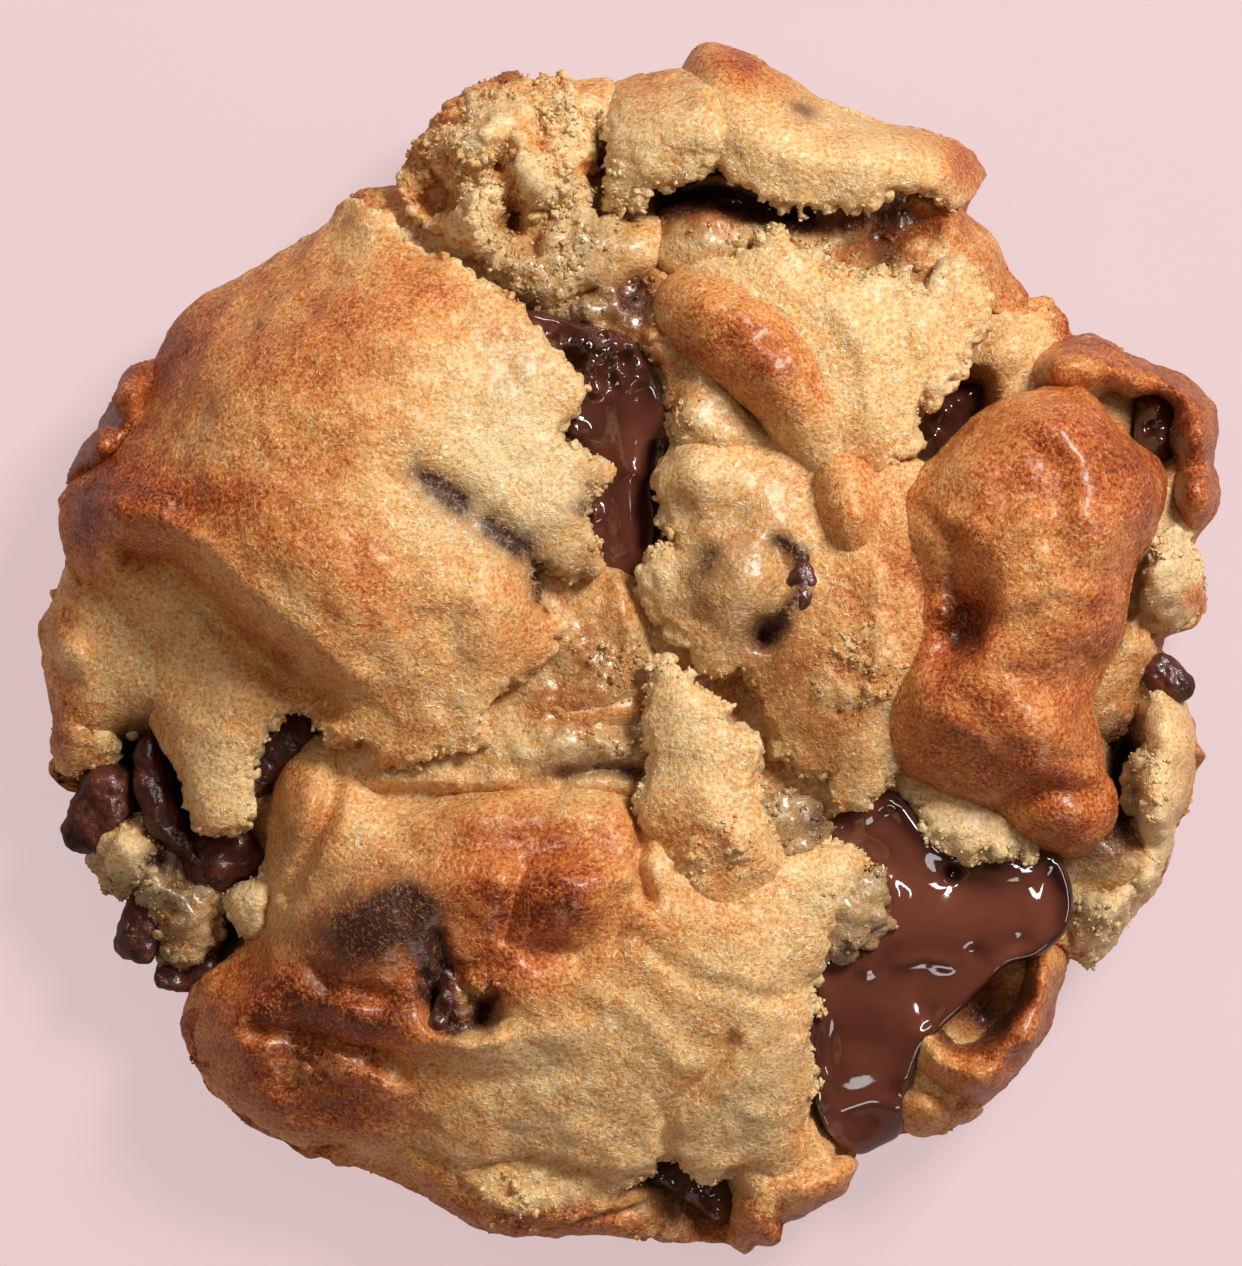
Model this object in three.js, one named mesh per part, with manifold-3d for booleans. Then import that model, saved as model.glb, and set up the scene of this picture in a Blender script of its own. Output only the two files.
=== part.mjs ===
// A thick bakery chocolate chip cookie: one mound of baked dough with raised, torn crust slabs on top,
// pools of melted chocolate in its hollows, and chocolate chunks and chips in its gaps.
// Millimetres, +Z up. The origin is the middle of the cookie's box, on the flat base it rests on.
import * as THREE from "three";
import { mergeVertices } from "three/addons/utils/BufferGeometryUtils.js";
import Module from "manifold-3d";

// The mound
const crownHeight = 24.5; // dough under the slabs, at the middle
const shoulderHeight = 15.5; // where the top turns down into the side
const bulgeHeight = 8; // the widest line round the side
const shoulderRatio = 0.92; // shoulder radius over bulge radius
const footRatio = 0.925; // base radius over bulge radius
const sideTuck = [[0.992, 5], [0.972, 2.2], [footRatio, 0]]; // ratio and height, from bulge to base
const crownPower = 2.6; // how flat the crown is before it falls away
const around = 84; // steps round the mound
const topRings = [0.12, 0.24, 0.36, 0.48, 0.59, 0.69, 0.78, 0.86, shoulderRatio, 0.965, 1];

// The crust slabs
const lipThickness = 3.6; // torn edge of a slab, top to underside
const lipUndercut = 0.93; // where the underside leaves the edge, over the edge's own radius
const slabFoot = 0.72; // how far in the slab joins the mound
const slabDepth = 11; // how far below its edge a slab reaches into the mound
const slabRings = [0.3, 0.6, 0.85, 0.97];
const slabSteps = 32;

// Chocolate
const gap = 0.3; // clear space between chocolate and dough
const gapMargin = 1.4; // extra on the gap, for the flats between outline points
const poolDepth = 4.5;
const poolSteps = 30;
const poolRings = [0.45, 0.8, 1];
const clearAbove = 30; // dough is cleared this far above a pool
const chunkSteps = 12;
const chunkRings = 7;

// Relief
const cragHeight = 0.55; // small crags all over the crust
const cragSize = 4.2;
const sideCrag = 0.012; // how far crags move the side, over its radius
const tearJitter = 0.55; // how ragged the torn edges are

const doughColour = 0xd2a56b;
const chocolateColour = 0x4a2418;

// Outline of the mound seen from above, clockwise from the top left.
const rim = [
  [-22.5, 47.2], [-20, 51.5], [-12, 57], [-5, 56], [1, 57.3], [5.5, 57.6], [8, 59.9], [12, 59.2],
  [17, 55.3], [25, 52], [33, 50.2], [35, 46.5], [33.2, 43], [37.5, 37.5], [42, 35], [44, 31.3],
  [49.5, 29.2], [56.5, 25.5], [58.4, 20], [58.3, 14], [56.2, 10], [57, 6], [54, 1.5], [55.2, -3],
  [56.6, -9.5], [54, -18], [51, -25], [46.5, -31], [43.3, -31], [41.5, -37], [37, -43.5],
  [30, -48], [23, -50], [20.5, -54.3], [15.2, -57.3], [11.8, -59.9], [5, -58.6], [-5, -57.7],
  [-14, -57.5], [-20, -54.2], [-29, -51], [-38, -47], [-42.7, -41], [-44.2, -36], [-47, -31.5],
  [-50.2, -26], [-52.4, -20.5], [-56.8, -13], [-57, -6], [-58.3, 2.5], [-56, 8], [-57.2, 15],
  [-53.8, 20.5], [-50, 27], [-45.5, 32], [-40, 36], [-33, 40], [-27, 45],
];

// Swellings and hollows of the mound: x, y, reach, height.
const moundRelief = [
  [-54, -1, 5, 1], [-46.5, -12.5, 4.5, -10], [-40.5, -24, 4.5, -9], [-46, -23.5, 5, -1.5],
  [-33, -9.5, 5, -6], [-34, -18, 4.5, 2], [-6, -6, 7, 1.5], [0, -12, 4, -2], [12, 43.5, 4, -6],
  [24, 40, 5.5, -3.5], [31, 23, 4, -6], [52, 23, 3.6, -3], [-15.5, 42, 3, 1.5],
  [-13.5, 51.5, 3.2, 2], [-17.5, 49, 3, 1.5], [-18, 44.5, 2.6, -3], [-3, 46.5, 2.6, -3],
  [4, 49, 5.5, 4], [-11, 36.5, 4.5, -1], [0, 32, 5, 0.5], [13, 1.5, 3, -3], [30, 3, 4, -2],
  [34.5, -36, 3.6, -2.5], [-31, -41, 4, -2.5], [5, -54, 4.5, -4.5], [17, -54, 5, 1.5],
  [-10, -54, 5, 1.2], [20, 51, 7, 4], [36, 41, 5, 2], [42, 27.5, 4, 3.5],
];

// Rounded folds on the mound: height above it, half width, and their crest points.
const moundFolds = [
  [4.6, 3.4, [[41, 28.5], [48, 28.5], [54.5, 25.5]]],
  [3.6, 3, [[56, 22], [56.4, 17], [55.8, 12]]],
  [4.2, 3, [[28, -38.8], [31, -41], [35, -42.8], [39, -40], [41, -35], [42, -31]]],
  [3.4, 3.6, [[31, 51], [34, 45], [36.5, 40]]],
  [2.6, 3, [[-50, 24], [-46, 30], [-38, 36]]],
];

// Slabs: middle x and y, height there, outline of x, y and edge height, and relief on top.
const slabs = [
  { middle: [-27, 13], top: 33.5, outline: [
    [-27, 44.5, 19], [-18, 38.5, 25], [-10, 32, 27.5], [-6.5, 25, 28], [-2.5, 17, 27.5],
    [-9.2, 8, 25.5], [-6.8, 2.5, 26.5], [-13, -4, 27], [-17, -9.8, 26.5], [-26, -10.5, 25],
    [-31, -6.5, 23], [-37, -12, 19.5], [-40, -18, 16.5], [-44, -14, 15.5], [-49, -3.5, 14.5],
    [-55, 8, 14.5], [-55.8, 15, 15], [-50, 22.5, 16.5], [-45, 30, 16.5], [-36, 38, 17],
  ], relief: [[-44, 14, 6, 2.5], [-36, 9.5, 5, 2.5], [-38, 0, 6, -3], [-14, 12, 6, -1.5]] },
  { middle: [21, 49], top: 27.5, outline: [
    [8.8, 46.5, 26], [14.5, 43.8, 26], [20, 44.3, 26], [26, 44.4, 25], [31, 44.6, 22.5],
    [33.8, 47, 17], [31, 50.2, 15], [25, 51.4, 16], [19, 53.8, 17], [13, 57.6, 17], [8.6, 58.4, 17],
    [6.8, 53, 22],
  ], relief: [] },
  { middle: [20, 27], top: 29.5, outline: [
    [9.5, 38, 25], [14.5, 41, 24.5], [19.5, 37.2, 25], [24.5, 36.4, 24.5], [30.5, 37.6, 23.5],
    [35, 34.5, 23], [33, 28, 24.5], [30, 23.2, 25.5], [28, 18.8, 26], [24.2, 14, 26], [20, 12, 27],
    [15, 18, 26.5], [8, 25, 26], [5, 33, 25.5],
  ], relief: [[8, 32, 4.5, 4], [13, 28.5, 4.5, 4.5], [17, 22.5, 4, 5], [21, 14, 3, 3]] },
  { middle: [14, 5], top: 28, outline: [
    [2.4, 17.5, 25], [3.4, 11.5, 25.5], [1.2, 7.5, 25.5], [3, 2, 25.5], [8, -2.4, 25.5],
    [12.5, -6, 25], [15, -11.5, 24.5], [19.5, -15.5, 24], [25, -13, 24.5], [26.5, -4, 25.5],
    [27.5, 6, 25.5], [24, 15, 25], [15, 20, 25],
  ], relief: [[7, 17, 4, 1.5], [10.5, 6.5, 4, 2], [13, 0.5, 2.5, -3]] },
  { middle: [39, 3], top: 34.5, outline: [
    [45.5, 25, 27], [50, 20.5, 26], [53, 14.5, 25], [50.8, 7, 26], [48, 0, 27], [45.8, -6, 27.5],
    [47.5, -14.5, 25.5], [45, -19.8, 24.5], [38, -19.4, 25], [30, -15.5, 25.5], [24, -9, 27],
    [26.5, -2, 29], [31.5, 3.5, 27], [28.4, 12.5, 28.5], [31, 19.5, 28], [38, 23, 28],
  ], relief: [[37, 13, 6, 0.8], [32, 3, 3, -2.5], [34, -9, 5, 0.8]] },
  { middle: [-8, -32], top: 28.5, outline: [
    [-22, -16.5, 23.5], [-14, -14.4, 25], [-5, -13.4, 25.5], [1.5, -17, 26], [10, -20, 26.5],
    [19, -22, 25.5], [19, -29, 24], [18, -36, 22], [17.8, -44, 18.5], [17.6, -50.2, 15.5],
    [9, -51.6, 16], [2.5, -50.6, 16.5], [-8, -50.8, 16.5], [-20, -50, 15.5], [-31, -47.5, 14],
    [-39, -42.5, 13], [-41, -34, 14], [-35.5, -25, 17.5], [-29.5, -18, 20.5],
  ], relief: [[-6, -24.5, 5, 4], [-17, -24, 5, 3], [-24, -28, 5, 1.5], [-19, -34, 4, -2],
    [-34, -33, 6, 2], [6, -44, 4, -1], [12, -35, 6, 1]] },
  { middle: [8, -13], top: 31, outline: [
    [2.6, -0.6, 27.5], [7, -2.4, 28], [9.3, -6.6, 28.5], [12.8, -8.8, 28.5], [12.6, -13.5, 28.5],
    [15.5, -18, 28], [17.5, -22.5, 27], [13, -26.5, 27], [6, -24.5, 27], [1.6, -19, 27],
    [0.4, -14, 27], [1.2, -7, 27],
  ], relief: [] },
  { middle: [50.6, -15], top: 20.5, outline: [
    [51.5, -3, 16], [54, -2.2, 14], [55.7, -8, 13], [54.6, -15.5, 13], [52.4, -22, 13],
    [48.8, -27.5, 13], [45.6, -30.6, 13], [43.4, -28.6, 15], [43.6, -25, 16.5], [47.4, -22.6, 17],
    [48.8, -15, 18], [49.8, -8, 17.5],
  ], relief: [] },
];

// Melted chocolate lying in the hollows: middle, and outline of x, y and surface height.
const pools = [
  { name: "chocolate_pool_large", middle: [30, -27], outline: [
    [20.4, -17.4, 20.5], [25.5, -15.2, 20.5], [29, -19.5, 20.5], [33, -21.3, 20.3],
    [40.4, -20.6, 20], [41.8, -26.5, 19.6], [37.5, -31, 19.2], [33, -35.6, 18.4], [29, -38, 17.6],
    [27.7, -41.5, 16.2], [26.4, -46.2, 14], [25, -48.6, 12.2], [22.4, -49.4, 12], [20, -45.5, 14],
    [18.4, -39, 16.6], [20, -34, 18], [20.6, -30.4, 18.8], [24.4, -27.5, 19.6], [24.8, -23, 20.2],
  ] },
  { name: "chocolate_pool_middle", middle: [-0.8, 20.5], outline: [
    [-9, 31.6, 23.5], [-4, 30.6, 24], [-0.5, 29.3, 23.8], [2.4, 24.6, 22.8], [3, 20, 21.8],
    [2, 16.5, 21.2], [3.6, 11.8, 20.6], [1.4, 8.9, 20.2], [-1.8, 7.8, 20.2], [-2.6, 11.8, 20.6],
    [-1.6, 17, 21.2], [-4.8, 19.4, 21.6], [-5.4, 22.6, 22], [-6, 28, 23],
  ] },
  { name: "chocolate_top_crack", middle: [10, 43.4], outline: [
    [4.2, 43.6, 15.5], [7.5, 44.9, 15.5], [11, 44.3, 15.5], [16.2, 43, 15.5], [12.5, 42.2, 15.5],
    [8, 42.8, 15.5],
  ] },
  { name: "chocolate_bottom_crack", middle: [6, -53.2], outline: [
    [1.4, -51.6, 11.5], [4.5, -51, 12], [8.4, -52, 12], [10, -55, 10.5], [8.6, -57, 9.5],
    [5, -54.6, 10.5],
  ] },
  { name: "chocolate_right_crevice", middle: [30.5, 22.4], outline: [
    [28, 19.6, 14], [29.6, 22.4, 14.5], [32, 25.4, 14.5], [34.4, 25.4, 14.5], [33, 22.4, 14],
    [30.4, 19.8, 14],
  ] },
  { name: "chocolate_rim_hollow", middle: [52, 22.6], outline: [
    [50.6, 19, 15.5], [50.6, 24.5, 16], [52.4, 26.2, 16], [53.6, 23, 15.5], [53, 19.6, 15.2],
  ] },
];

// Chunks and chips: centre, half sizes, turn about the vertical in degrees, tip-up in degrees, bend, and
// how square they are (2 is an ellipsoid, more is boxier).
const chunks = [
  { name: "chunk_left_rim", centre: [-52.6, -15.4, 10], half: [2.3, 3.8, 3.4], turn: 22, tip: 8, bend: 0, square: 3.4 },
  { name: "chunk_lower_left", centre: [-48, -27.2, 8.6], half: [2, 3.3, 2.9], turn: 24, tip: -6, bend: 0, square: 3.2 },
  { name: "chocolate_bar_end", centre: [-43.4, -32.4, 7.4], half: [3.2, 1.3, 2.4], turn: 4, tip: 0, bend: 0, square: 4 },
  { name: "chip_curled", centre: [-44.2, -13.2, 13.6], half: [1.3, 5.2, 2], turn: 12, tip: -14, bend: 1.4, square: 2.4 },
  { name: "chunk_gap", centre: [-40, -21.6, 11.5], half: [3.4, 2.3, 2.4], turn: -32, tip: 6, bend: 0, square: 3 },
  { name: "chip_under_slab", centre: [-33.6, -8.6, 16], half: [2.2, 3.6, 2.4], turn: -38, tip: 0, bend: 0, square: 2.6 },
  { name: "chip_right_rim", centre: [53.3, -2.4, 16.2], half: [1.9, 2.2, 2], turn: 0, tip: 0, bend: 0, square: 2.2 },
  { name: "chip_lower_slab", centre: [-18.4, -34.2, 25.2], half: [1.5, 3.2, 1.8], turn: 18, tip: -8, bend: 0.4, square: 2.4 },
  { name: "chip_buried", centre: [15.4, 7, 26.6], half: [1.6, 3.8, 1.9], turn: 6, tip: 0, bend: 1.2, square: 2.3 },
];

const wasm = await Module();
wasm.setup();

// A repeatable number from 0 to 1 for each whole-number place.
function scatter(x, y) {
  const wave = Math.sin(x * 127.1 + y * 311.7) * 43758.5453;
  return wave - Math.floor(wave);
}

// Smooth noise from -1 to 1 with bumps about one unit across.
function noise(x, y) {
  const x0 = Math.floor(x), y0 = Math.floor(y);
  const u = THREE.MathUtils.smoothstep(x - x0, 0, 1);
  const v = THREE.MathUtils.smoothstep(y - y0, 0, 1);
  const low = THREE.MathUtils.lerp(scatter(x0, y0), scatter(x0 + 1, y0), u);
  const high = THREE.MathUtils.lerp(scatter(x0, y0 + 1), scatter(x0 + 1, y0 + 1), u);
  return 2 * THREE.MathUtils.lerp(low, high, v) - 1;
}

function crags(x, y) {
  return cragHeight * (noise(x / cragSize, y / cragSize) + 0.5 * noise(x / 2 + 9, y / 2 + 4));
}

// Sum of round swellings and hollows, each falling off as a bell.
function relief(list, x, y) {
  return list.reduce((sum, [cx, cy, reach, height]) => {
    const away = ((x - cx) ** 2 + (y - cy) ** 2) / reach ** 2;
    return sum + height * Math.exp(-away);
  }, 0);
}

// Height of a rounded fold at a distance from its crest line.
function fold([height, halfWidth, crest], x, y) {
  let nearest = Infinity;
  for (let i = 1; i < crest.length; i++) {
    const [ax, ay] = crest[i - 1], [bx, by] = crest[i];
    const along = ((x - ax) * (bx - ax) + (y - ay) * (by - ay)) / ((bx - ax) ** 2 + (by - ay) ** 2);
    const t = THREE.MathUtils.clamp(along, 0, 1);
    nearest = Math.min(nearest, Math.hypot(x - ax - t * (bx - ax), y - ay - t * (by - ay)));
  }
  return height * Math.exp(-((nearest / halfWidth) ** 2));
}

// A closed geometry from a top point, rings of points from the top down, and a bottom point.
function ringedGeometry(top, rings, bottom) {
  const steps = rings[0].length;
  const positions = [top, ...rings.flat(), bottom].flatMap((p) => [p.x, p.y, p.z]);
  const at = (ring, step) => 1 + ring * steps + (step % steps);
  const last = 1 + rings.length * steps;
  const index = [];
  for (let j = 0; j < steps; j++) {
    index.push(0, at(0, j), at(0, j + 1));
    for (let k = 0; k + 1 < rings.length; k++) {
      index.push(at(k, j), at(k + 1, j), at(k + 1, j + 1), at(k, j), at(k + 1, j + 1), at(k, j + 1));
    }
    index.push(at(rings.length - 1, j), last, at(rings.length - 1, j + 1));
  }
  const geometry = new THREE.BufferGeometry();
  geometry.setAttribute("position", new THREE.Float32BufferAttribute(positions, 3));
  geometry.setIndex(index);
  return geometry;
}

// Points evenly spaced along a smooth closed line, counterclockwise seen from above.
function closedLine(points, steps) {
  const corners = points.map(([x, y, z]) => new THREE.Vector3(x, y, z ?? 0));
  const line = new THREE.CatmullRomCurve3(corners, true, "centripetal").getSpacedPoints(steps);
  line.pop();
  let area = 0;
  line.forEach((p, i) => {
    const q = line[(i + 1) % line.length];
    area += p.x * q.y - q.x * p.y;
  });
  return area > 0 ? line : line.reverse();
}

function moundTop(x, y, ratio) {
  if (ratio > shoulderRatio) {
    const out = (ratio - shoulderRatio) / (1 - shoulderRatio);
    const drop = 1 - Math.sqrt(1 - Math.min(out, 1) ** 2);
    const shoulder = moundTop(x, y, shoulderRatio);
    return shoulder + (bulgeHeight - shoulder) * drop;
  }
  const dome = crownHeight - (crownHeight - shoulderHeight) * (ratio / shoulderRatio) ** crownPower;
  const folds = moundFolds.reduce((sum, each) => sum + fold(each, x, y), 0);
  return Math.max(dome + relief(moundRelief, x, y) + folds + crags(x, y), bulgeHeight - 3);
}

function moundGeometry() {
  const edge = closedLine(rim, around);
  const ringAt = (ratio, height) => edge.map((p) => {
    const shift = height ? sideCrag * (noise(p.x / 5, p.y / 5 + height) - 0.5) : 0;
    const x = p.x * (ratio + shift), y = p.y * (ratio + shift);
    return new THREE.Vector3(x, y, height ?? moundTop(x, y, ratio));
  });
  const rings = topRings.map((ratio) => ringAt(ratio));
  sideTuck.forEach(([ratio, height]) => rings.push(ringAt(ratio, height)));
  return ringedGeometry(new THREE.Vector3(0, 0, moundTop(0, 0, 0)), rings, new THREE.Vector3(0, 0, 0));
}

// A slab is domed on top, has a torn lip all round, and narrows to a foot inside the mound.
function slabGeometry({ middle: [mx, my], top, outline, relief: bumps }) {
  const edge = closedLine(outline, slabSteps);
  edge.forEach((p) => {
    const out = Math.hypot(p.x - mx, p.y - my);
    const ragged = tearJitter * noise(p.x * 0.9 + 3, p.y * 0.9 + 7);
    p.x += ((p.x - mx) / out) * ragged;
    p.y += ((p.y - my) / out) * ragged;
  });
  const ringAt = (ratio, heightAt) => edge.map((p) => {
    const x = mx + (p.x - mx) * ratio, y = my + (p.y - my) * ratio;
    return new THREE.Vector3(x, y, heightAt(p.z, x, y, ratio));
  });
  const surface = (edgeHeight, x, y, ratio) => {
    const dome = edgeHeight + (top - edgeHeight) * (1 - ratio ** 2.2);
    return dome + (relief(bumps, x, y) + crags(x, y)) * (1 - ratio ** 6);
  };
  const rings = slabRings.map((ratio) => ringAt(ratio, surface));
  rings.push(ringAt(1, (z) => z - lipThickness * 0.45));
  rings.push(ringAt(lipUndercut, (z) => z - lipThickness));
  rings.push(ringAt(slabFoot, (z) => Math.max(z - slabDepth, 3)));
  const crown = new THREE.Vector3(mx, my, surface(top, mx, my, 0));
  return ringedGeometry(crown, rings, new THREE.Vector3(mx, my, 3));
}

// A closed line moved outwards by a distance, square to itself.
function offsetLine(line, distance) {
  return line.map((p, i) => {
    const before = line[(i + line.length - 1) % line.length];
    const after = line[(i + 1) % line.length];
    const length = Math.hypot(after.x - before.x, after.y - before.y);
    const nx = (after.y - before.y) / length, ny = (before.x - after.x) / length;
    return new THREE.Vector3(p.x + nx * distance, p.y + ny * distance, p.z);
  });
}

// A pool has a nearly level top, full at its edge, and a rounded bed. Grown, it is the hollow it lies in.
function poolGeometry({ middle: [mx, my], outline }, grow) {
  const edge = offsetLine(closedLine(outline, poolSteps), grow * gapMargin);
  const mean = edge.reduce((sum, p) => sum + p.z, 0) / edge.length;
  const ringAt = (ratio, lift) => edge.map((p) => new THREE.Vector3(
    mx + (p.x - mx) * ratio,
    my + (p.y - my) * ratio,
    THREE.MathUtils.lerp(mean, p.z, ratio ** 2) + lift,
  ));
  const above = grow ? clearAbove : 0;
  const bed = poolDepth + grow * gapMargin;
  const rings = poolRings.map((ratio) => ringAt(ratio, above));
  if (grow) rings.push(ringAt(1, 0));
  rings.push(ringAt(0.97, -0.45 * bed));
  rings.push(ringAt(0.7, -0.9 * bed));
  return ringedGeometry(new THREE.Vector3(mx, my, mean + above), rings, new THREE.Vector3(mx, my, mean - bed));
}

// A chunk is a rounded block: a sphere's rings pushed out towards a box, bent and turned.
function chunkGeometry({ centre, half, turn, tip, bend, square }, grow) {
  const shaped = (value) => Math.sign(value) * Math.abs(value) ** (2 / square);
  const place = new THREE.Matrix4().makeRotationFromEuler(new THREE.Euler(
    THREE.MathUtils.degToRad(tip), 0, THREE.MathUtils.degToRad(-turn), "ZYX"));
  place.setPosition(...centre);
  const pointAt = (fall, spin) => {
    const across = shaped(Math.sin(fall));
    const x = (half[0] + grow) * across * shaped(Math.cos(spin));
    const y = (half[1] + grow) * across * shaped(Math.sin(spin));
    const z = (half[2] + grow) * shaped(Math.cos(fall));
    const bowed = bend * (1 - (y / half[1]) ** 2);
    return new THREE.Vector3(x + bowed, y, z).applyMatrix4(place);
  };
  const rings = [];
  for (let k = 1; k < chunkRings; k++) {
    const fall = (Math.PI * k) / chunkRings;
    rings.push(Array.from({ length: chunkSteps }, (_, j) => pointAt(fall, (2 * Math.PI * (j + 0.5)) / chunkSteps)));
  }
  return ringedGeometry(pointAt(0, 0), rings, pointAt(Math.PI, 0));
}

function solidOf(geometry) {
  const merged = mergeVertices(geometry, 1e-4);
  return new wasm.Manifold(new wasm.Mesh({
    numProp: 3,
    vertProperties: new Float32Array(merged.attributes.position.array),
    triVerts: new Uint32Array(merged.index.array),
  }));
}

function geometryOf(solid) {
  const mesh = solid.getMesh();
  const geometry = new THREE.BufferGeometry();
  geometry.setAttribute("position", new THREE.BufferAttribute(mesh.vertProperties.slice(), mesh.numProp));
  geometry.setIndex(new THREE.BufferAttribute(mesh.triVerts.slice(), 1));
  return geometry;
}

function largestBody(solid) {
  return solid.decompose().reduce((best, body) => (body.volume() > best.volume() ? body : best));
}

const cookie = new THREE.Group();
cookie.name = "chocolate_chip_cookie";

function addNode(name, geometry, color, roughness) {
  const mesh = new THREE.Mesh(geometry, new THREE.MeshStandardMaterial({ color, roughness, metalness: 0 }));
  mesh.name = name;
  cookie.add(mesh);
}

let dough = solidOf(moundGeometry());
slabs.forEach((slab) => {
  dough = dough.add(solidOf(slabGeometry(slab)));
});
pools.forEach((pool) => {
  dough = dough.subtract(solidOf(poolGeometry(pool, gap)));
});
chunks.forEach((chunk) => {
  dough = dough.subtract(solidOf(chunkGeometry(chunk, gap)));
});
addNode("dough", geometryOf(largestBody(dough)), doughColour, 0.75);
pools.forEach((pool) => addNode(pool.name, poolGeometry(pool, 0), chocolateColour, 0.2));
chunks.forEach((chunk) => addNode(chunk.name, chunkGeometry(chunk, 0), chocolateColour, 0.35));

export default cookie;
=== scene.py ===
import math

import bmesh
import bpy
import numpy as np
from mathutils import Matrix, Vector


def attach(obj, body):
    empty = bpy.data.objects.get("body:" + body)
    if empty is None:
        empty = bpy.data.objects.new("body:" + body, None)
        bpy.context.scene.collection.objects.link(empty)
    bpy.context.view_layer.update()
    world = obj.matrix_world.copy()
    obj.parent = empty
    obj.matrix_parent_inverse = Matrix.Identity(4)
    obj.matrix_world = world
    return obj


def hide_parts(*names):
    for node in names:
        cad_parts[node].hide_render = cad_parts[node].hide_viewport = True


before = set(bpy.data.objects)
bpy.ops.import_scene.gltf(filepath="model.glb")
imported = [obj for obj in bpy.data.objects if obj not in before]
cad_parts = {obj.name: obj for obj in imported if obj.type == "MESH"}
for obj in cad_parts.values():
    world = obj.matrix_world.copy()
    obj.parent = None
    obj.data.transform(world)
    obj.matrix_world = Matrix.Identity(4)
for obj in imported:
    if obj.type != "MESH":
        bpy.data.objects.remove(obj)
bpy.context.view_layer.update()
millimetre = 0.001
print("frame loaded:", len(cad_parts), "nodes")


# noise and fields; lengths are in millimetres until makeObject

def hashed(ix, iy, iz, seed):
    # a repeatable number from 0 to 1 for each whole-number place
    mixed = (ix * 374761393 + iy * 668265263 + iz * 1442695041 + seed * 97531) & 0xFFFFFFFF
    mixed = ((mixed ^ (mixed >> 13)) * 1274126177) & 0xFFFFFFFF
    return ((mixed ^ (mixed >> 16)) & 0xFFFFFF) / float(0xFFFFFF)


def noise(p, size, seed=0):
    # smooth noise from -1 to 1: corner values of a cube lattice blended by an S curve
    q = p / size + seed * 7.31
    cell = np.floor(q).astype(np.int64)
    t = q - cell
    t = t * t * (3 - 2 * t)
    total = np.zeros(len(p))
    for corner in range(8):
        bit = np.array([corner & 1, (corner >> 1) & 1, (corner >> 2) & 1])
        weight = np.prod(np.where(bit, t, 1 - t), axis=1)
        c = cell + bit
        total += weight * hashed(c[:, 0], c[:, 1], c[:, 2], seed)
    return total * 2 - 1


def fractal(p, size, octaves=3, seed=0):
    # noise added to itself at half the size and half the strength, turned each time
    turn = np.array([[0.8, 0.6, 0], [-0.48, 0.64, 0.6], [0.36, -0.48, 0.8]])
    total, strength = np.zeros(len(p)), 1.0
    for octave in range(octaves):
        total += strength * noise(p, size, seed + octave)
        p, size, strength = p @ turn, size / 2, strength / 2
    return total / 1.6


def pebbles(p, size, seed=0):
    # distance to the nearest scattered point over the cell size: 0 at a lump's middle, 1 between lumps
    q = p / size
    cell = np.floor(q).astype(np.int64)
    nearest = np.full(len(p), 9.0)
    for dx in (-1, 0, 1):
        for dy in (-1, 0, 1):
            for dz in (-1, 0, 1):
                c = cell + np.array([dx, dy, dz])
                away = np.zeros(len(p))
                for axis in range(3):
                    spot = c[:, axis] + hashed(c[:, 0], c[:, 1], c[:, 2], seed + 11 * axis)
                    away += (q[:, axis] - spot) ** 2
                nearest = np.minimum(nearest, away)
    return np.minimum(np.sqrt(nearest), 1.2)


def packedLumps(p, rows):
    # sum of pebbles turned over, so that they stand out: height, size, seed of each kind
    total = np.zeros(len(p))
    for height, size, seed in rows:
        total += height * (0.6 - pebbles(p, size, seed))
    return total


def blobs(x, y, rows):
    # sum of bells: x, y, reach, amount, or x, y, long reach, short reach, turn in degrees, amount
    total = np.zeros(x.shape)
    for row in rows:
        if len(row) == 4:
            row = (row[0], row[1], row[2], row[2], 0, row[3])
        cx, cy, longReach, shortReach, turn, amount = row
        c, s = math.cos(math.radians(turn)), math.sin(math.radians(turn))
        along = ((x - cx) * c + (y - cy) * s) / longReach
        across = ((y - cy) * c - (x - cx) * s) / shortReach
        total += amount * np.exp(-(along ** 2 + across ** 2))
    return total


def strokes(x, y, rows):
    # sum of soft lines: amount, half width, then the points that the line runs through
    total = np.zeros(x.shape)
    for amount, halfWidth, points in rows:
        nearest = np.full(x.shape, 1e9)
        for (ax, ay), (bx, by) in zip(points[:-1], points[1:]):
            length = (bx - ax) ** 2 + (by - ay) ** 2
            t = np.clip(((x - ax) * (bx - ax) + (y - ay) * (by - ay)) / length, 0, 1)
            nearest = np.minimum(nearest, (x - ax - t * (bx - ax)) ** 2 + (y - ay - t * (by - ay)) ** 2)
        total += amount * np.exp(-nearest / halfWidth ** 2)
    return total


def closedSpline(points, spacing):
    # a smooth closed line through the points; further columns, such as heights, are carried along
    p = np.array(points, float)
    parts = []
    for i in range(len(p)):
        a, b, c, d = p[i - 1], p[i], p[(i + 1) % len(p)], p[(i + 2) % len(p)]
        count = max(1, int(np.hypot(*(c - b)[:2]) / spacing))
        t = (np.arange(count) / count)[:, None]
        curve = 0.5 * (2 * b + (c - a) * t + (2 * a - 5 * b + 4 * c - d) * t ** 2
                       + (3 * b - a - 3 * c + d) * t ** 3)
        curve[:, 2:] = (b + (c - b) * t)[:, 2:]
        parts.append(curve)
    return np.concatenate(parts)


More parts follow.
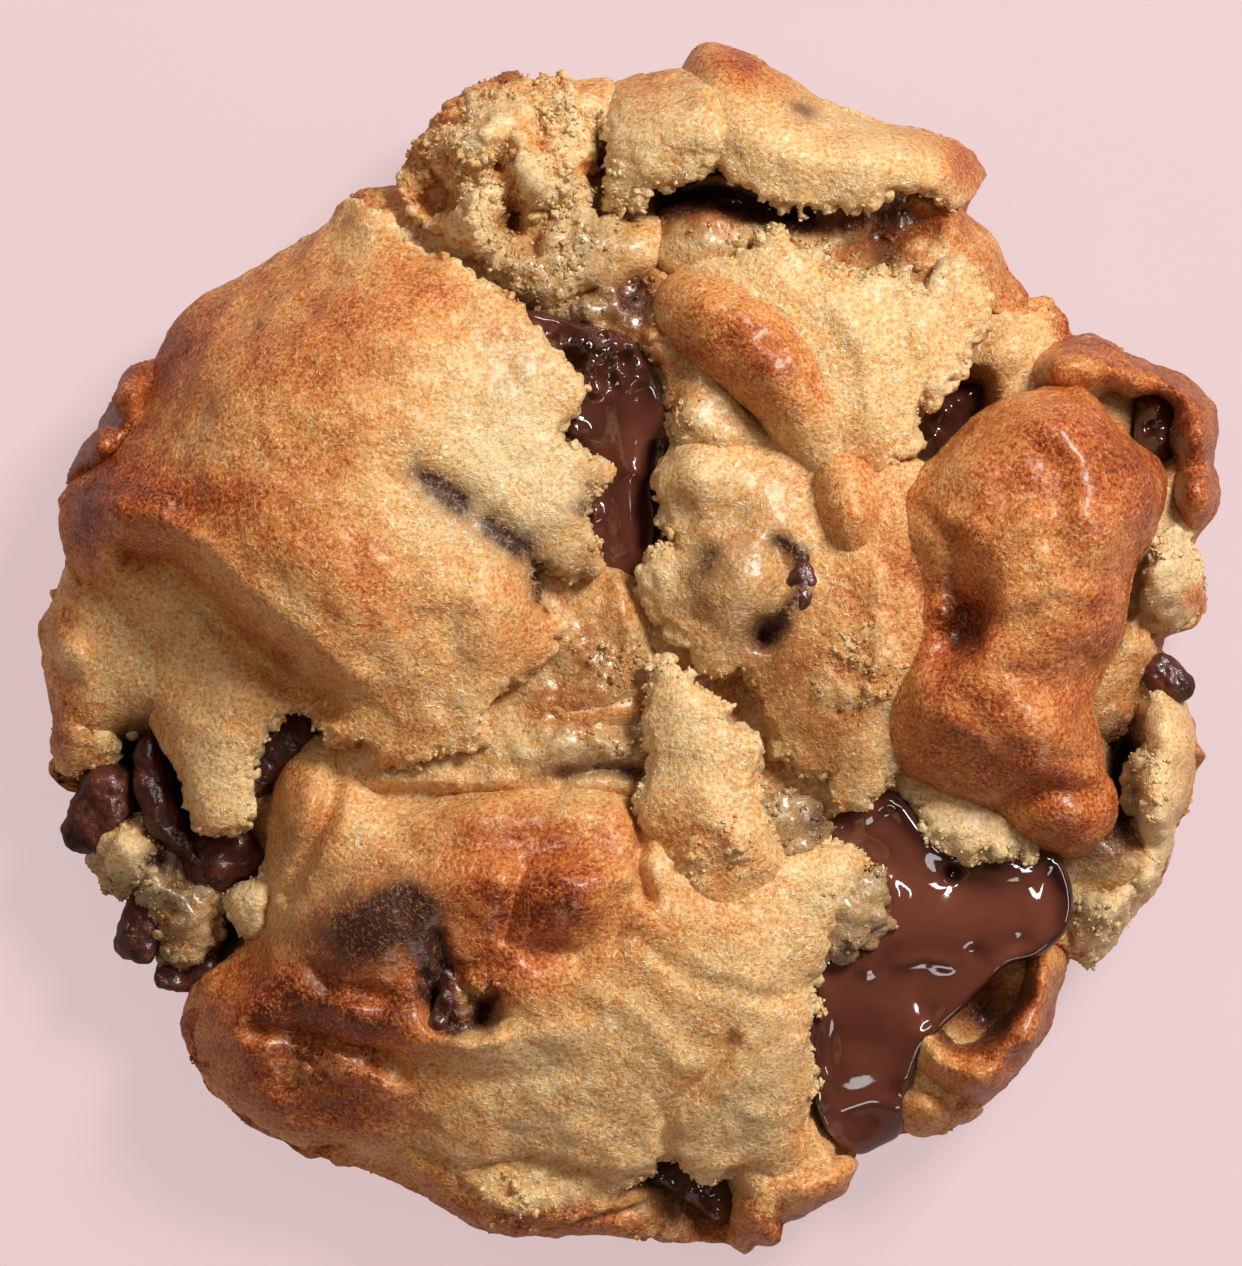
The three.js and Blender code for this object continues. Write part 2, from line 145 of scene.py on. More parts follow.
def insideField(line, x, y):
    # signed distance to a closed line, more than 0 inside, and the line's carried columns spread inwards
    fx, fy = x.ravel(), y.ravel()
    ax, ay = line[:, 0], line[:, 1]
    bx, by = np.roll(ax, -1), np.roll(ay, -1)
    distance, carried = np.empty(len(fx)), np.empty((len(fx), line.shape[1] - 2))
    for start in range(0, len(fx), 4000):
        px, py = fx[start:start + 4000, None], fy[start:start + 4000, None]
        ex, ey = bx - ax, by - ay
        t = np.clip(((px - ax) * ex + (py - ay) * ey) / (ex ** 2 + ey ** 2 + 1e-12), 0, 1)
        away = (px - ax - t * ex) ** 2 + (py - ay - t * ey) ** 2
        crossing = ((ay > py) != (by > py)) & (px < ex * (py - ay) / (ey + 1e-12) + ax)
        inside = np.count_nonzero(crossing, axis=1) % 2 == 1
        distance[start:start + 4000] = np.sqrt(away.min(axis=1)) * np.where(inside, 1, -1)
        weight = 1 / (away + 0.3) ** 2
        carried[start:start + 4000] = (weight @ line[:, 2:]) / weight.sum(axis=1)[:, None]
    return distance.reshape(x.shape), carried.reshape(x.shape + (-1,))


def stretchedSheet(points, x, y, stiffness=0.4):
    # a thin plate bent through the points' heights, so that the surface passes smoothly near them all
    p = np.array(points, float)
    span = 30.0
    px, py = p[:, 0] / span, p[:, 1] / span

    def bend(r2):
        return r2 * np.log(r2 + 1e-9)

    r2 = (px[:, None] - px) ** 2 + (py[:, None] - py) ** 2
    count = len(p)
    system = np.zeros((count + 3, count + 3))
    system[:count, :count] = bend(r2) + np.eye(count) * stiffness * 1e-3
    system[:count, count:] = np.c_[np.ones(count), px, py]
    system[count:, :count] = system[:count, count:].T
    weights = np.linalg.solve(system, np.r_[p[:, 2], 0, 0, 0])
    fx, fy = x.ravel() / span, y.ravel() / span
    result = weights[count] + weights[count + 1] * fx + weights[count + 2] * fy
    for i in range(count):
        result += weights[i] * bend((fx - px[i]) ** 2 + (fy - py[i]) ** 2)
    return result.reshape(x.shape)


# meshes

def vertexNormals(points, quads):
    # each face's normal from its two diagonals, added up at its corners
    a, b, c, d = (points[quads[:, k]] for k in range(4))
    faceNormal = np.cross(c - a, d - b)
    total = np.zeros_like(points)
    for k in range(4):
        for axis in range(3):
            total[:, axis] += np.bincount(quads[:, k], faceNormal[:, axis], len(points))
    return total / (np.linalg.norm(total, axis=1)[:, None] + 1e-12)


def makeObject(name, points, faces, tone=None):
    # faces is an array of quads or of triangles; tone holds brown, wet, stain with painted shade, and crumb for each
    # vertex
    mesh = bpy.data.meshes.new(name)
    corners = faces.shape[1]
    mesh.vertices.add(len(points))
    mesh.vertices.foreach_set("co", (points * millimetre).ravel().astype(np.float32))
    mesh.loops.add(faces.size)
    mesh.loops.foreach_set("vertex_index", faces.ravel().astype(np.int32))
    mesh.polygons.add(len(faces))
    mesh.polygons.foreach_set("loop_start", np.arange(0, faces.size, corners, dtype=np.int32))
    mesh.update(calc_edges=True)
    mesh.validate()
    mesh.shade_smooth()
    if tone is not None:
        layer = mesh.attributes.new("tone", "FLOAT_COLOR", "POINT")
        layer.data.foreach_set("color", np.clip(tone, 0, 1).ravel().astype(np.float32))
    made = bpy.data.objects.new(name, mesh)
    bpy.context.scene.collection.objects.link(made)
    return made


toneDrift = {
    "broad": 0.12,        # how far browning wanders over a few millimetres
    "fine": 0.07,         # and from spot to spot
    "crumbPaler": 0.11,   # browning that a torn place loses
    "crumbPitShade": 0.60,     # painted shade: browner in the pits between crumbs and paler on their tips, for each millimetre that a crumb stands out
    "patchy": 0.9,        # how unevenly wetness, stains and the painted shade in the stain channel are spread
}


def toneAt(spec, points, crumb, relief):
    # the piece's browning, wetness and chocolate stain, which also holds painted shade, each a base value with bells
    # and soft lines added; relief is the height of the crumbs, and the pits between them are painted browner as shade,
    # the tips paler
    x, y = points[:, 0], points[:, 1]
    tone = np.zeros((len(points), 4))
    for channel, word in enumerate(("brown", "wet", "stainAndShade")):
        part = spec.get(word, (0,))
        level = np.full(len(points), float(part[0]))
        for rows in part[1:]:
            first = rows[0]
            if hasattr(first[2], "__len__"):
                level += strokes(x, y, rows)
            else:
                level += blobs(x, y, rows)
        tone[:, channel] = level
    tone[:, 0] += toneDrift["broad"] * fractal(points, 7, 3, 5) + toneDrift["fine"] * noise(points, 1.6, 9)
    browned = np.clip(tone[:, 0] * 4, 0, 1)
    # painted shade: the crumbs' pits are browned and their tips paled by their height
    tone[:, 0] -= toneDrift["crumbPaler"] * crumb * browned + toneDrift["crumbPitShade"] * relief
    patches = 0.5 + 0.5 * fractal(points, 2.2, 2, 21)
    tone[:, 1:3] *= (0.55 + toneDrift["patchy"] * patches)[:, None]
    tone[:, 3] = crumb
    return tone


def softened(field, cells):
    # running mean over a square of cells, twice, with the border values carried on outside
    width = max(1, int(cells))
    for _ in range(2):
        for axis in (0, 1):
            pad = [(0, 0), (0, 0)]
            pad[axis] = (width + 1, width)
            run = np.cumsum(np.pad(field, pad, mode="edge"), axis=axis)
            count = 2 * width + 1
            high = np.take(run, np.arange(count, run.shape[axis]), axis=axis)
            low = np.take(run, np.arange(0, run.shape[axis] - count), axis=axis)
            field = (high - low) / count
    return field


roughness = {
    "swell": 0.46,        # height of the crust's soft swellings
    "pimple": 0.14,       # and of the small ones on them
    "packed": [(0.95, 2.3, 4), (0.50, 1.1, 8), (0.22, 0.6, 15)],   # crumbs: height, size, seed
    "uneven": 0.3,        # how far whole bunches of crumbs stand out or sink
}


def roughened(points, quads, crumb, spec, keepFlat=1):
    # lumps pushed out along the normal: soft swellings on crust, packed crumbs where it is torn
    normal = vertexNormals(points, quads)
    soft = fractal(points, 5.5, 4, 3) + 0.45 * noise(points, 2.4, 19)
    fine = fractal(points, 1.2, 2, 13)
    torn = packedLumps(points, roughness["packed"]) + roughness["uneven"] * fractal(points, 2.8, 2, 17)
    relief = crumb * torn * spec.get("crumbling", 1.0) * keepFlat
    crust = spec.get("swell", roughness["swell"]) * soft + spec.get("pimple", roughness["pimple"]) * fine
    push = crust * keepFlat + relief
    return points + normal * push[:, None], relief


edgeShape = {
    "step": 0.24,         # grid spacing
    "smoothReach": 3.2,   # how far in a smooth edge is rounded
    "tornReach": 0.9,     # and a torn one
    "lip": 3.6,           # edge thickness, top to underside
    "upperShare": 0.45,   # part of the lip above its outermost line
    "underSlope": 2.2,    # how steeply the underside runs down into the mound
    "underReach": 2.4,    # how far in from the lip it goes
    "ragged": 0.70,       # how far torn edges wander
    "wavy": 0.25,         # and all edges, over a longer way
    "crumbReach": 1.5,    # how far in from a torn edge the crumbs go
}


def slabMesh(spec):
    # A slab on a square grid: the cells inside its outline, raised to a thin plate through its heights.
    # Near the outline the rows are drawn together and bent over into a rounded lip, and a second sheet
    # below, joined along the outline, closes the slab.
    step = spec.get("step", edgeShape["step"])
    line = closedSpline([(row + (spec.get("torn", 1),))[:4] for row in spec["outline"]], 0.45)
    low, high = line[:, :2].min(axis=0) - 1.5, line[:, :2].max(axis=0) + 1.5
    xs, ys = np.arange(low[0], high[0], step), np.arange(low[1], high[1], step)
    gx, gy = np.meshgrid(xs, ys)
    d, carried = insideField(line, gx, gy)
    torn = np.clip(carried[..., 1], 0, 1)
    flat = np.c_[gx.ravel(), gy.ravel(), np.full(gx.size, 3.0 * spec.get("seed", 1))]
    wander = 0.9 * noise(flat, 2.6, 31) + 0.6 * noise(flat, 1.2, 32) + 0.65 * noise(flat, 0.65, 33)
    waves = noise(flat, 5, 34).reshape(d.shape)
    d = d + edgeShape["ragged"] * torn * wander.reshape(d.shape) + edgeShape["wavy"] * waves
    slopeY, slopeX = np.gradient(d, step)
    length = np.hypot(slopeX, slopeY) + 1e-6
    slopeX, slopeY = slopeX / length, slopeY / length
    driftX, driftY = softened(slopeX, 0.8 / step), softened(slopeY, 0.8 / step)

    kept = d > -0.6 * step
    cells = kept[:-1, :-1] & kept[1:, :-1] & kept[:-1, 1:] & kept[1:, 1:]
    touching = np.zeros(d.shape, int)
    for rows, columns in ((slice(0, -1), slice(0, -1)), (slice(1, None), slice(0, -1)),
                          (slice(0, -1), slice(1, None)), (slice(1, None), slice(1, None))):
        touching[rows, columns] += cells
    border = (touching > 0) & (touching < 4)
    pull = np.where(border, np.clip(d, -step, step), 0)
    x, y = gx - slopeX * pull, gy - slopeY * pull
    d = np.where(border, 0, np.maximum(d, 0))
    d = d + (softened(d, 1.0 / step) - d) * np.clip(d / 2 - 0.3, 0, 1)

    smoothReach = spec.get("round", edgeShape["smoothReach"])
    reach = edgeShape["tornReach"] + (smoothReach - edgeShape["tornReach"]) * (1 - torn)
    lip = spec.get("lip", edgeShape["lip"])
    upper = lip * (edgeShape["upperShare"] + 0.25 * (1 - torn))
    band = np.minimum(0.75 * (reach + upper), 0.9 * d.max())
    reach = np.minimum(reach, band)
    angle = np.clip(1 - d / band, 0, 1) * math.pi / 2
    rolled = reach * (1 - np.sin(angle))
    beyond = d - (band - reach) * np.exp(-np.maximum(d - band, 0) / 3)
    moved = np.where(d < band, rolled, beyond)
    x, y = x - driftX * (d - moved), y - driftY * (d - moved)

    sheet = line[::max(1, len(line) // 44), :3].tolist() + [list(row) for row in spec["heights"]]
    top = stretchedSheet(sheet, x, y)
    top += blobs(x, y, spec.get("bumps", ())) + strokes(x, y, spec.get("folds", ()))
    topZ = top - upper * (1 - np.cos(angle))
    under = lip - upper
    bottomZ = top - upper - under * np.cos(angle) - edgeShape["underSlope"] * np.maximum(d - band, 0)
    bottomZ = np.where(border, topZ, np.maximum(np.minimum(bottomZ, topZ - 0.2), 0.6))

    used = touching > 0
    number = np.full(d.shape, -1)
    number[used] = np.arange(used.sum())
    count = int(used.sum())
    near = d < band + edgeShape["underReach"]
    inner = used & ~border & near
    lower = np.where(border, number, -1)
    lower[inner] = count + np.arange(inner.sum())
    r, c = np.nonzero(cells)

    def corners(index):
        return np.c_[index[r, c], index[r, c + 1], index[r + 1, c + 1], index[r + 1, c]]

    below = corners(lower)[:, ::-1]
    quads = np.r_[corners(number), below[below.min(axis=1) >= 0]]
    points = np.r_[np.c_[x[used], y[used], topZ[used]], np.c_[x[inner], y[inner], bottomZ[inner]]]
    spread = np.r_[d[used], np.zeros(inner.sum())]
    tornness = np.r_[torn[used], torn[inner]]
    crumb = tornness * np.exp(-(spread / spec.get("crumbReach", edgeShape["crumbReach"])) ** 2)
    crumb = np.maximum(crumb, blobs(points[:, 0], points[:, 1], spec.get("crumbs", ())))
    crumb = np.clip(crumb, 0, 1)
    points, relief = roughened(points, quads, crumb, spec)
    points[:, 2] = np.maximum(points[:, 2], 0.2)
    return points, quads, toneAt(spec, points, crumb, relief)


def joined(parts):
    # several grids as one: vertex numbers of each are moved past those before it
    points, quads, tones, total = [], [], [], 0
    for p, q, t in parts:
        points.append(p)
        quads.append(q + total)
        tones.append(t)
        total += len(p)
    return np.concatenate(points), np.concatenate(quads), np.concatenate(tones)


# the mound

mound = {
    "rim": [
        (-22.5, 47.2), (-20, 51.5), (-15, 55.5), (-12, 57), (-10, 56.3), (-5, 56), (-2, 56), (1, 57.3),
        (3.5, 56.6), (5.5, 57.5), (6.3, 59.5), (8, 60), (11, 59.3), (14, 57.5), (17, 55.3), (20, 54),
        (25, 52), (29, 51.5), (33, 50), (34.8, 48), (35, 46.5), (33.5, 44), (33.2, 42.8), (35, 41.5),
        (36.5, 40), (37.5, 37.5), (39.5, 35), (42, 35), (43.5, 33.5), (44, 31.2), (47, 30.8),
        (49.5, 29.2), (54, 27), (56.5, 25.5), (58, 23), (58.3, 21), (57.8, 18.5), (58.5, 15), (58, 13),
        (56.3, 11), (56.1, 9), (57, 6), (56.8, 4), (56, 2.2), (54, 1.8), (53, 0), (54.5, -1.2),
        (55.2, -3), (55, -5.5), (56, -7), (56.4, -9), (57.3, -10.5), (56.2, -12), (55.5, -15), (54, -18),
        (53, -22), (51, -25), (49, -27.5), (47, -30.5), (45.5, -31.2), (43.5, -30.2), (43, -31),
        (42, -35), (41, -38), (39.5, -40.5), (37, -43.5), (35, -45), (33, -46.8), (30, -48),
        (27.5, -47.8), (25, -48.7), (22.8, -50), (22.3, -52), (21, -54), (18, -55.5), (15, -57),
        (15, -58.5), (14, -59.2), (12.5, -59), (11.5, -59.9), (9.5, -58.7), (5, -58.6), (0, -58.2),
        (-5, -57.7), (-10, -57.9), (-14, -57.5), (-17, -56), (-20, -54.2), (-25, -52), (-29, -51),
        (-32, -50), (-35, -48.3), (-38, -47), (-40, -45), (-41.5, -43), (-42.7, -41), (-44, -38),
        (-44.3, -36.5), (-43.2, -34), (-43.6, -31.8), (-45.2, -29), (-46.6, -26), (-48, -22),
        (-49, -18), (-50.6, -14.6), (-54, -13.4), (-57, -12.6),
        (-57.5, -10.5), (-57, -6), (-58, -1), (-58.2, 2.5), (-57, 5), (-56, 8), (-56.3, 13),
        (-57, 15.3), (-55, 17), (-53.8, 20.5), (-51.5, 23.5), (-50, 27), (-47, 28.5), (-46.2, 30),
        (-45.5, 32), (-43, 34.5), (-40, 36), (-37, 37.5), (-33, 40), (-30, 42), (-27, 45),
    ],
    "crown": 22.0,        # height of the dough under the slabs, at the middle
    "shoulder": 15.0,     # height where the top turns down into the side
    "bulge": 8.0,         # height of the widest line
    "shoulderAt": 0.92,   # radius of the shoulder over that of the widest line
    "shoulderRing": 0.84, # grid ring where the shoulder starts
    "poolDepth": 3.8,     # how far the dough lies under a pool
    "tuckIn": 4.6,        # how far the base lies inside the widest line
    "sideCracks": 1.5,    # depth of the cracks in the side
    "ringsAcross": 232,
    "sideRows": 34,
    "bumps": [
        (-47, -13, 4.6, -15), (-50, -12, 3, -7), (-40.5, -22, 5, -13), (-46, -24.5, 5, -9), (-34, -9.5, 5, -8),
        (-40, -29, 3, -7), (-35, -42, 8, -4), (20, -6, 5, 3, -50, -5), (12, -3, 4, -3), (48.7, -11.5, 1.9, 5, 0, -8),
        (-12, 2, 6, 1), (-4, -4, 5, 1.2), (0, -11, 3.2, -2.5), (24, 40, 5.5, -3.5), (31, 23, 4, -7),
        (51.8, 22.8, 3.4, -5), (-15.5, 42, 2.6, 3.2), (-13.5, 51.5, 3, 2.6), (-17.5, 48.6, 2.6, 2.6),
        (-9, 48.5, 3, 2), (-18.2, 44.2, 2.2, -3.5), (-11.5, 42.2, 2.2, -3.5), (-8, 52.5, 2.6, 1.6),
        (-7, 36.5, 4, 1.6), (-11.5, 37, 2.5, 1.5), (1.5, 31, 3.5, 0.5), (3, 38, 4, 1.2), (30, 3, 4, -3),
        (34.8, -35.6, 3.2, -4.8), (5, -54, 4, -5.5), (17, -54, 5, 1), (-10, -54, 5, 1), (36, 41, 4, 2),
        (30, 40, 3, -1), (20.5, 41.5, 2.5, -1.5), (53, 8, 2.6, 2.5), (54.5, 4.5, 2.4, 1.6),
        (46.5, -18.5, 3.5, 2.5), (48, -21, 2.5, 1.5), (2, 20, 4, -2), (37.5, 30, 4, 1.5),
    ],
    "folds": [
        (-4.5, 1.0, [(-2.9, 50.5), (-3.1, 47), (-3.6, 43.2)]),
        (-7.0, 2.0, [(4, 44.2), (8, 44.8), (12.5, 43.2), (17, 42.8)]),
        (1.6, 1.6, [(-9, -10.5), (-4, -9.2), (1, -9.8)]),
        (-1.6, 1.2, [(-9, -12.4), (-3, -11.8), (1.5, -12.6)]),
        (1.2, 1.5, [(-12, -3), (-6, -6.5), (0, -6)]),
    ],
    "crumbs": [
        (-14, 48, 7, 1.4), (-8, 52, 5, 1.1), (-14, 42, 5, 1.2), (-3, 46, 4, 1), (24, 40, 6, 0.8),
        (-9, -54, 9, 4, 4, 0.9), (53, 8, 4, 1.2), (55, 3, 3, 0.9), (-46, -22, 6, 0.9), (37, 41, 4, 0.5),
        (30, 3, 4, 0.5), (13, -4, 6, 3, -50, 0.6), (34.5, -36, 3, 0.8), (48, -19, 4, 0.6),
        (-11, 37, 4, 0.6), (-5, 35.5, 4, 0.5),
    ],
    "brown": (0.30,
        [(-16, 49, 9, -0.05), (0, 32, 6, 0.18), (-5, -4, 8, 0.22), (24, 40, 7, 0.05), (35, 40, 4, 0.2),
         (-12, -56, 14, 4, 0, 0.12), (-52, 24, 5, 0.35), (-50, 27, 5, 0.35), (53, 8, 4, -0.22),
         (56, 4, 3, 0.1), (-45, -14, 6, 0.5), (-41, -24, 6, 0.5), (10, -2, 6, 0.2), (31, 23, 5, 0.4),
         (5, -55, 4, 0.2), (17, -55, 5, 0.2), (-11.5, 57, 2, 0.6), (-38, -42, 10, 6, -45, 0.4), (35, -35, 4, 0.5),
         (47, -17, 4, 5, 0, 0.35)],
        [(0.45, 1.4, [(-2.9, 50.5), (-3.1, 47), (-3.6, 43.2)])]),
    "wet": (0.0,
        [(-6, 36, 5, 0.75), (-11, 35, 3, 0.5), (24, 40, 6, 0.75), (-4, -4, 7, 0.5), (47.5, -18.5, 4.5, 0.9),
         (34.5, -36, 3.6, 0.5), (0, 32, 6, 0.35), (53, 22, 4, 0.8), (32, 22, 4, 0.6), (8, 43, 7, 2.5, 0, 0.9),
         (-46, -22, 6, 0.7)]),
    # Mostly painted shade over some dark chocolate: the stains darken the voids of the left gap, the crevice at x 48.7,
    # the hollows at (31, 23), (52, 22.5) and (35.2, -35.2), the bottom crack, the groove and the top crack; the one at
    # (46.6, -18.6) is stained wet dough.
    "stainAndShade": (0.0,
        [(-47, -13, 6, 1.4), (-40, -23, 6, 1.3), (-46, -25, 6, 1.2), (-35, -9.5, 5, 1.2),
         (52, 22.5, 3, 0.8), (31, 23, 3, 0.9),
         (46.6, -18.6, 3.4, 0.75), (5, -54.5, 4, 0.7), (1.5, 18, 3, 0.8), (35.2, -35.2, 3, 0.95), (-48, -28, 4, 0.7),
         (48.7, -11.5, 2, 5.4, 0, 1.3)],
        [(0.75, 0.9, [(-9, -12.2), (-3, -11.6), (1.5, -12.4)]),
         (0.95, 1.6, [(4, 44.2), (8, 44.8), (12.5, 43.2), (17, 42.8)])]),
}


def moundMesh(spec):
    # The top is a square grid pressed into a disc and stretched to the rim outline; past the shoulder its
    # rows follow a quarter ellipse down to the widest line, and rows below that tuck in to the flat base.
    half = spec["ringsAcross"] // 2
    a, b = np.meshgrid(np.linspace(-1, 1, 2 * half + 1), np.linspace(-1, 1, 2 * half + 1))
    ring = np.maximum(np.abs(a), np.abs(b))
    discX, discY = a * np.sqrt(1 - b * b / 2), b * np.sqrt(1 - a * a / 2)
    bearing = np.arctan2(discY, discX)
    line = closedSpline(spec["rim"], 0.4)
    lineBearing = np.arctan2(line[:, 1], line[:, 0])
    order = np.argsort(lineBearing)
    lineBearing, lineRadius = lineBearing[order], np.hypot(line[:, 0], line[:, 1])[order]

    def radiusAt(angle):
        return np.interp(angle, lineBearing, lineRadius, period=2 * math.pi)

    turn = spec["shoulderRing"]
    steep = np.clip((ring - turn) / (1 - turn), 0, 1) * math.pi / 2
    inward = ring / turn * spec["shoulderAt"]
    ratio = np.where(ring < turn, inward, spec["shoulderAt"] + (1 - spec["shoulderAt"]) * np.sin(steep))
    radius = radiusAt(bearing) * ratio
    x, y = radius * np.cos(bearing), radius * np.sin(bearing)

    atShoulder = np.minimum(ratio, spec["shoulderAt"]) / np.maximum(ratio, 1e-6)
    sx, sy = x * atShoulder, y * atShoulder
    inner = np.minimum(ratio, spec["shoulderAt"]) / spec["shoulderAt"]
    z = spec["crown"] - (spec["crown"] - spec["shoulder"]) * inner ** 2.6
    z += blobs(sx, sy, spec["bumps"]) + strokes(sx, sy, spec["folds"])
    for pool in pools.values():
        shore = closedSpline([row[:3] for row in pool["outline"]], 0.8)
        depth, level = insideField(shore, sx, sy)
        bed = level[..., 0] - spec["poolDepth"] * np.clip(depth / 2.5 + 0.4, 0, 1)
        z = np.where(depth > -1.6, np.minimum(z, bed + 3 * np.clip(-depth - 0.2, 0, 2)), z)
    z = np.maximum(z, spec["bulge"] - 3.5)
    z = spec["bulge"] + (z - spec["bulge"]) * np.cos(steep)

    # the border ring in order, counterclockwise, then the rows of the side below it
    size = 2 * half + 1
    index = np.arange(size * size).reshape(size, size)
    border = np.r_[index[0, :-1], index[:-1, -1], index[-1, :0:-1], index[:0:-1, 0]]
    bx, by = x.ravel()[border], y.ravel()[border]
    rim = np.hypot(bx, by)
    rows = [border]
    points = [np.c_[x.ravel(), y.ravel(), z.ravel()]]
    total = size * size
    for row in range(1, spec["sideRows"] + 1):
        fall = row / spec["sideRows"]
        inset = spec["tuckIn"] * (1 - math.cos(fall * math.pi / 2)) ** 1.1
        height = spec["bulge"] * (1 - math.sin(fall * math.pi / 2) ** 1.25)
        scale = (rim - inset) / rim
        points.append(np.c_[bx * scale, by * scale, np.full(len(bx), height)])
        rows.append(np.arange(total, total + len(border)))
        total += len(border)
    for share in (0.85, 0.6, 0.35, 0.15):          # flat underside
        points.append(np.c_[bx * share, by * share, np.zeros(len(bx))])
        rows.append(np.arange(total, total + len(border)))
        total += len(border)
    points.append(np.zeros((1, 3)))
    points = np.concatenate(points)
    r, c = np.mgrid[0:size - 1, 0:size - 1].reshape(2, -1)
    quads = [np.c_[index[r, c], index[r, c + 1], index[r + 1, c + 1], index[r + 1, c]]]
    for upperRow, lowerRow in zip(rows[:-1], rows[1:]):
        quads.append(np.c_[upperRow, lowerRow, np.roll(lowerRow, -1), np.roll(upperRow, -1)])
    last = rows[-1]                                # the middle of the underside, two edges to a quad
    middle = np.full(len(last) // 2, total)
    quads.append(np.c_[middle, np.roll(last, -2)[::2], np.roll(last, -1)[::2], last[::2]])
    quads = np.concatenate(quads)

    crumb = np.clip(blobs(points[:, 0], points[:, 1], spec["crumbs"]), 0, 1)
    far = np.hypot(points[:, 0], points[:, 1]) / radiusAt(np.arctan2(points[:, 1], points[:, 0]))
    side = np.clip((far - 0.9) / 0.08, 0, 1) * (points[:, 2] < 15)
    lower = np.clip((8 - points[:, 2]) / 5, 0, 1)
    sideCrumb = np.clip(0.25 + 1.2 * fractal(points, 9, 2, 41), 0, 0.8) * (1 - 0.5 * lower)
    crumb = np.maximum(crumb, side * sideCrumb)
    keepFlat = np.clip(points[:, 2] / 1.2, 0, 1)
    points, relief = roughened(points, quads, crumb, spec, keepFlat)
    normal = vertexNormals(points, quads)
    crease = np.clip(0.16 - np.abs(fractal(points * np.array([1, 1, 1.7]), 9, 2, 51)), 0, 0.16) / 0.16
    sideOnly = side * np.clip(points[:, 2] / 3, 0, 1) * keepFlat
    points -= normal * (spec["sideCracks"] * crease * sideOnly)[:, None]
    points[:, 2] = np.maximum(points[:, 2], 0)
    tone = toneAt(spec, points, crumb, relief)
    tone[:, 0] += side * (0.36 + 0.35 * np.clip((9 - points[:, 2]) / 9, 0, 1)) - 0.25 * sideOnly * crease
    return points, quads, tone
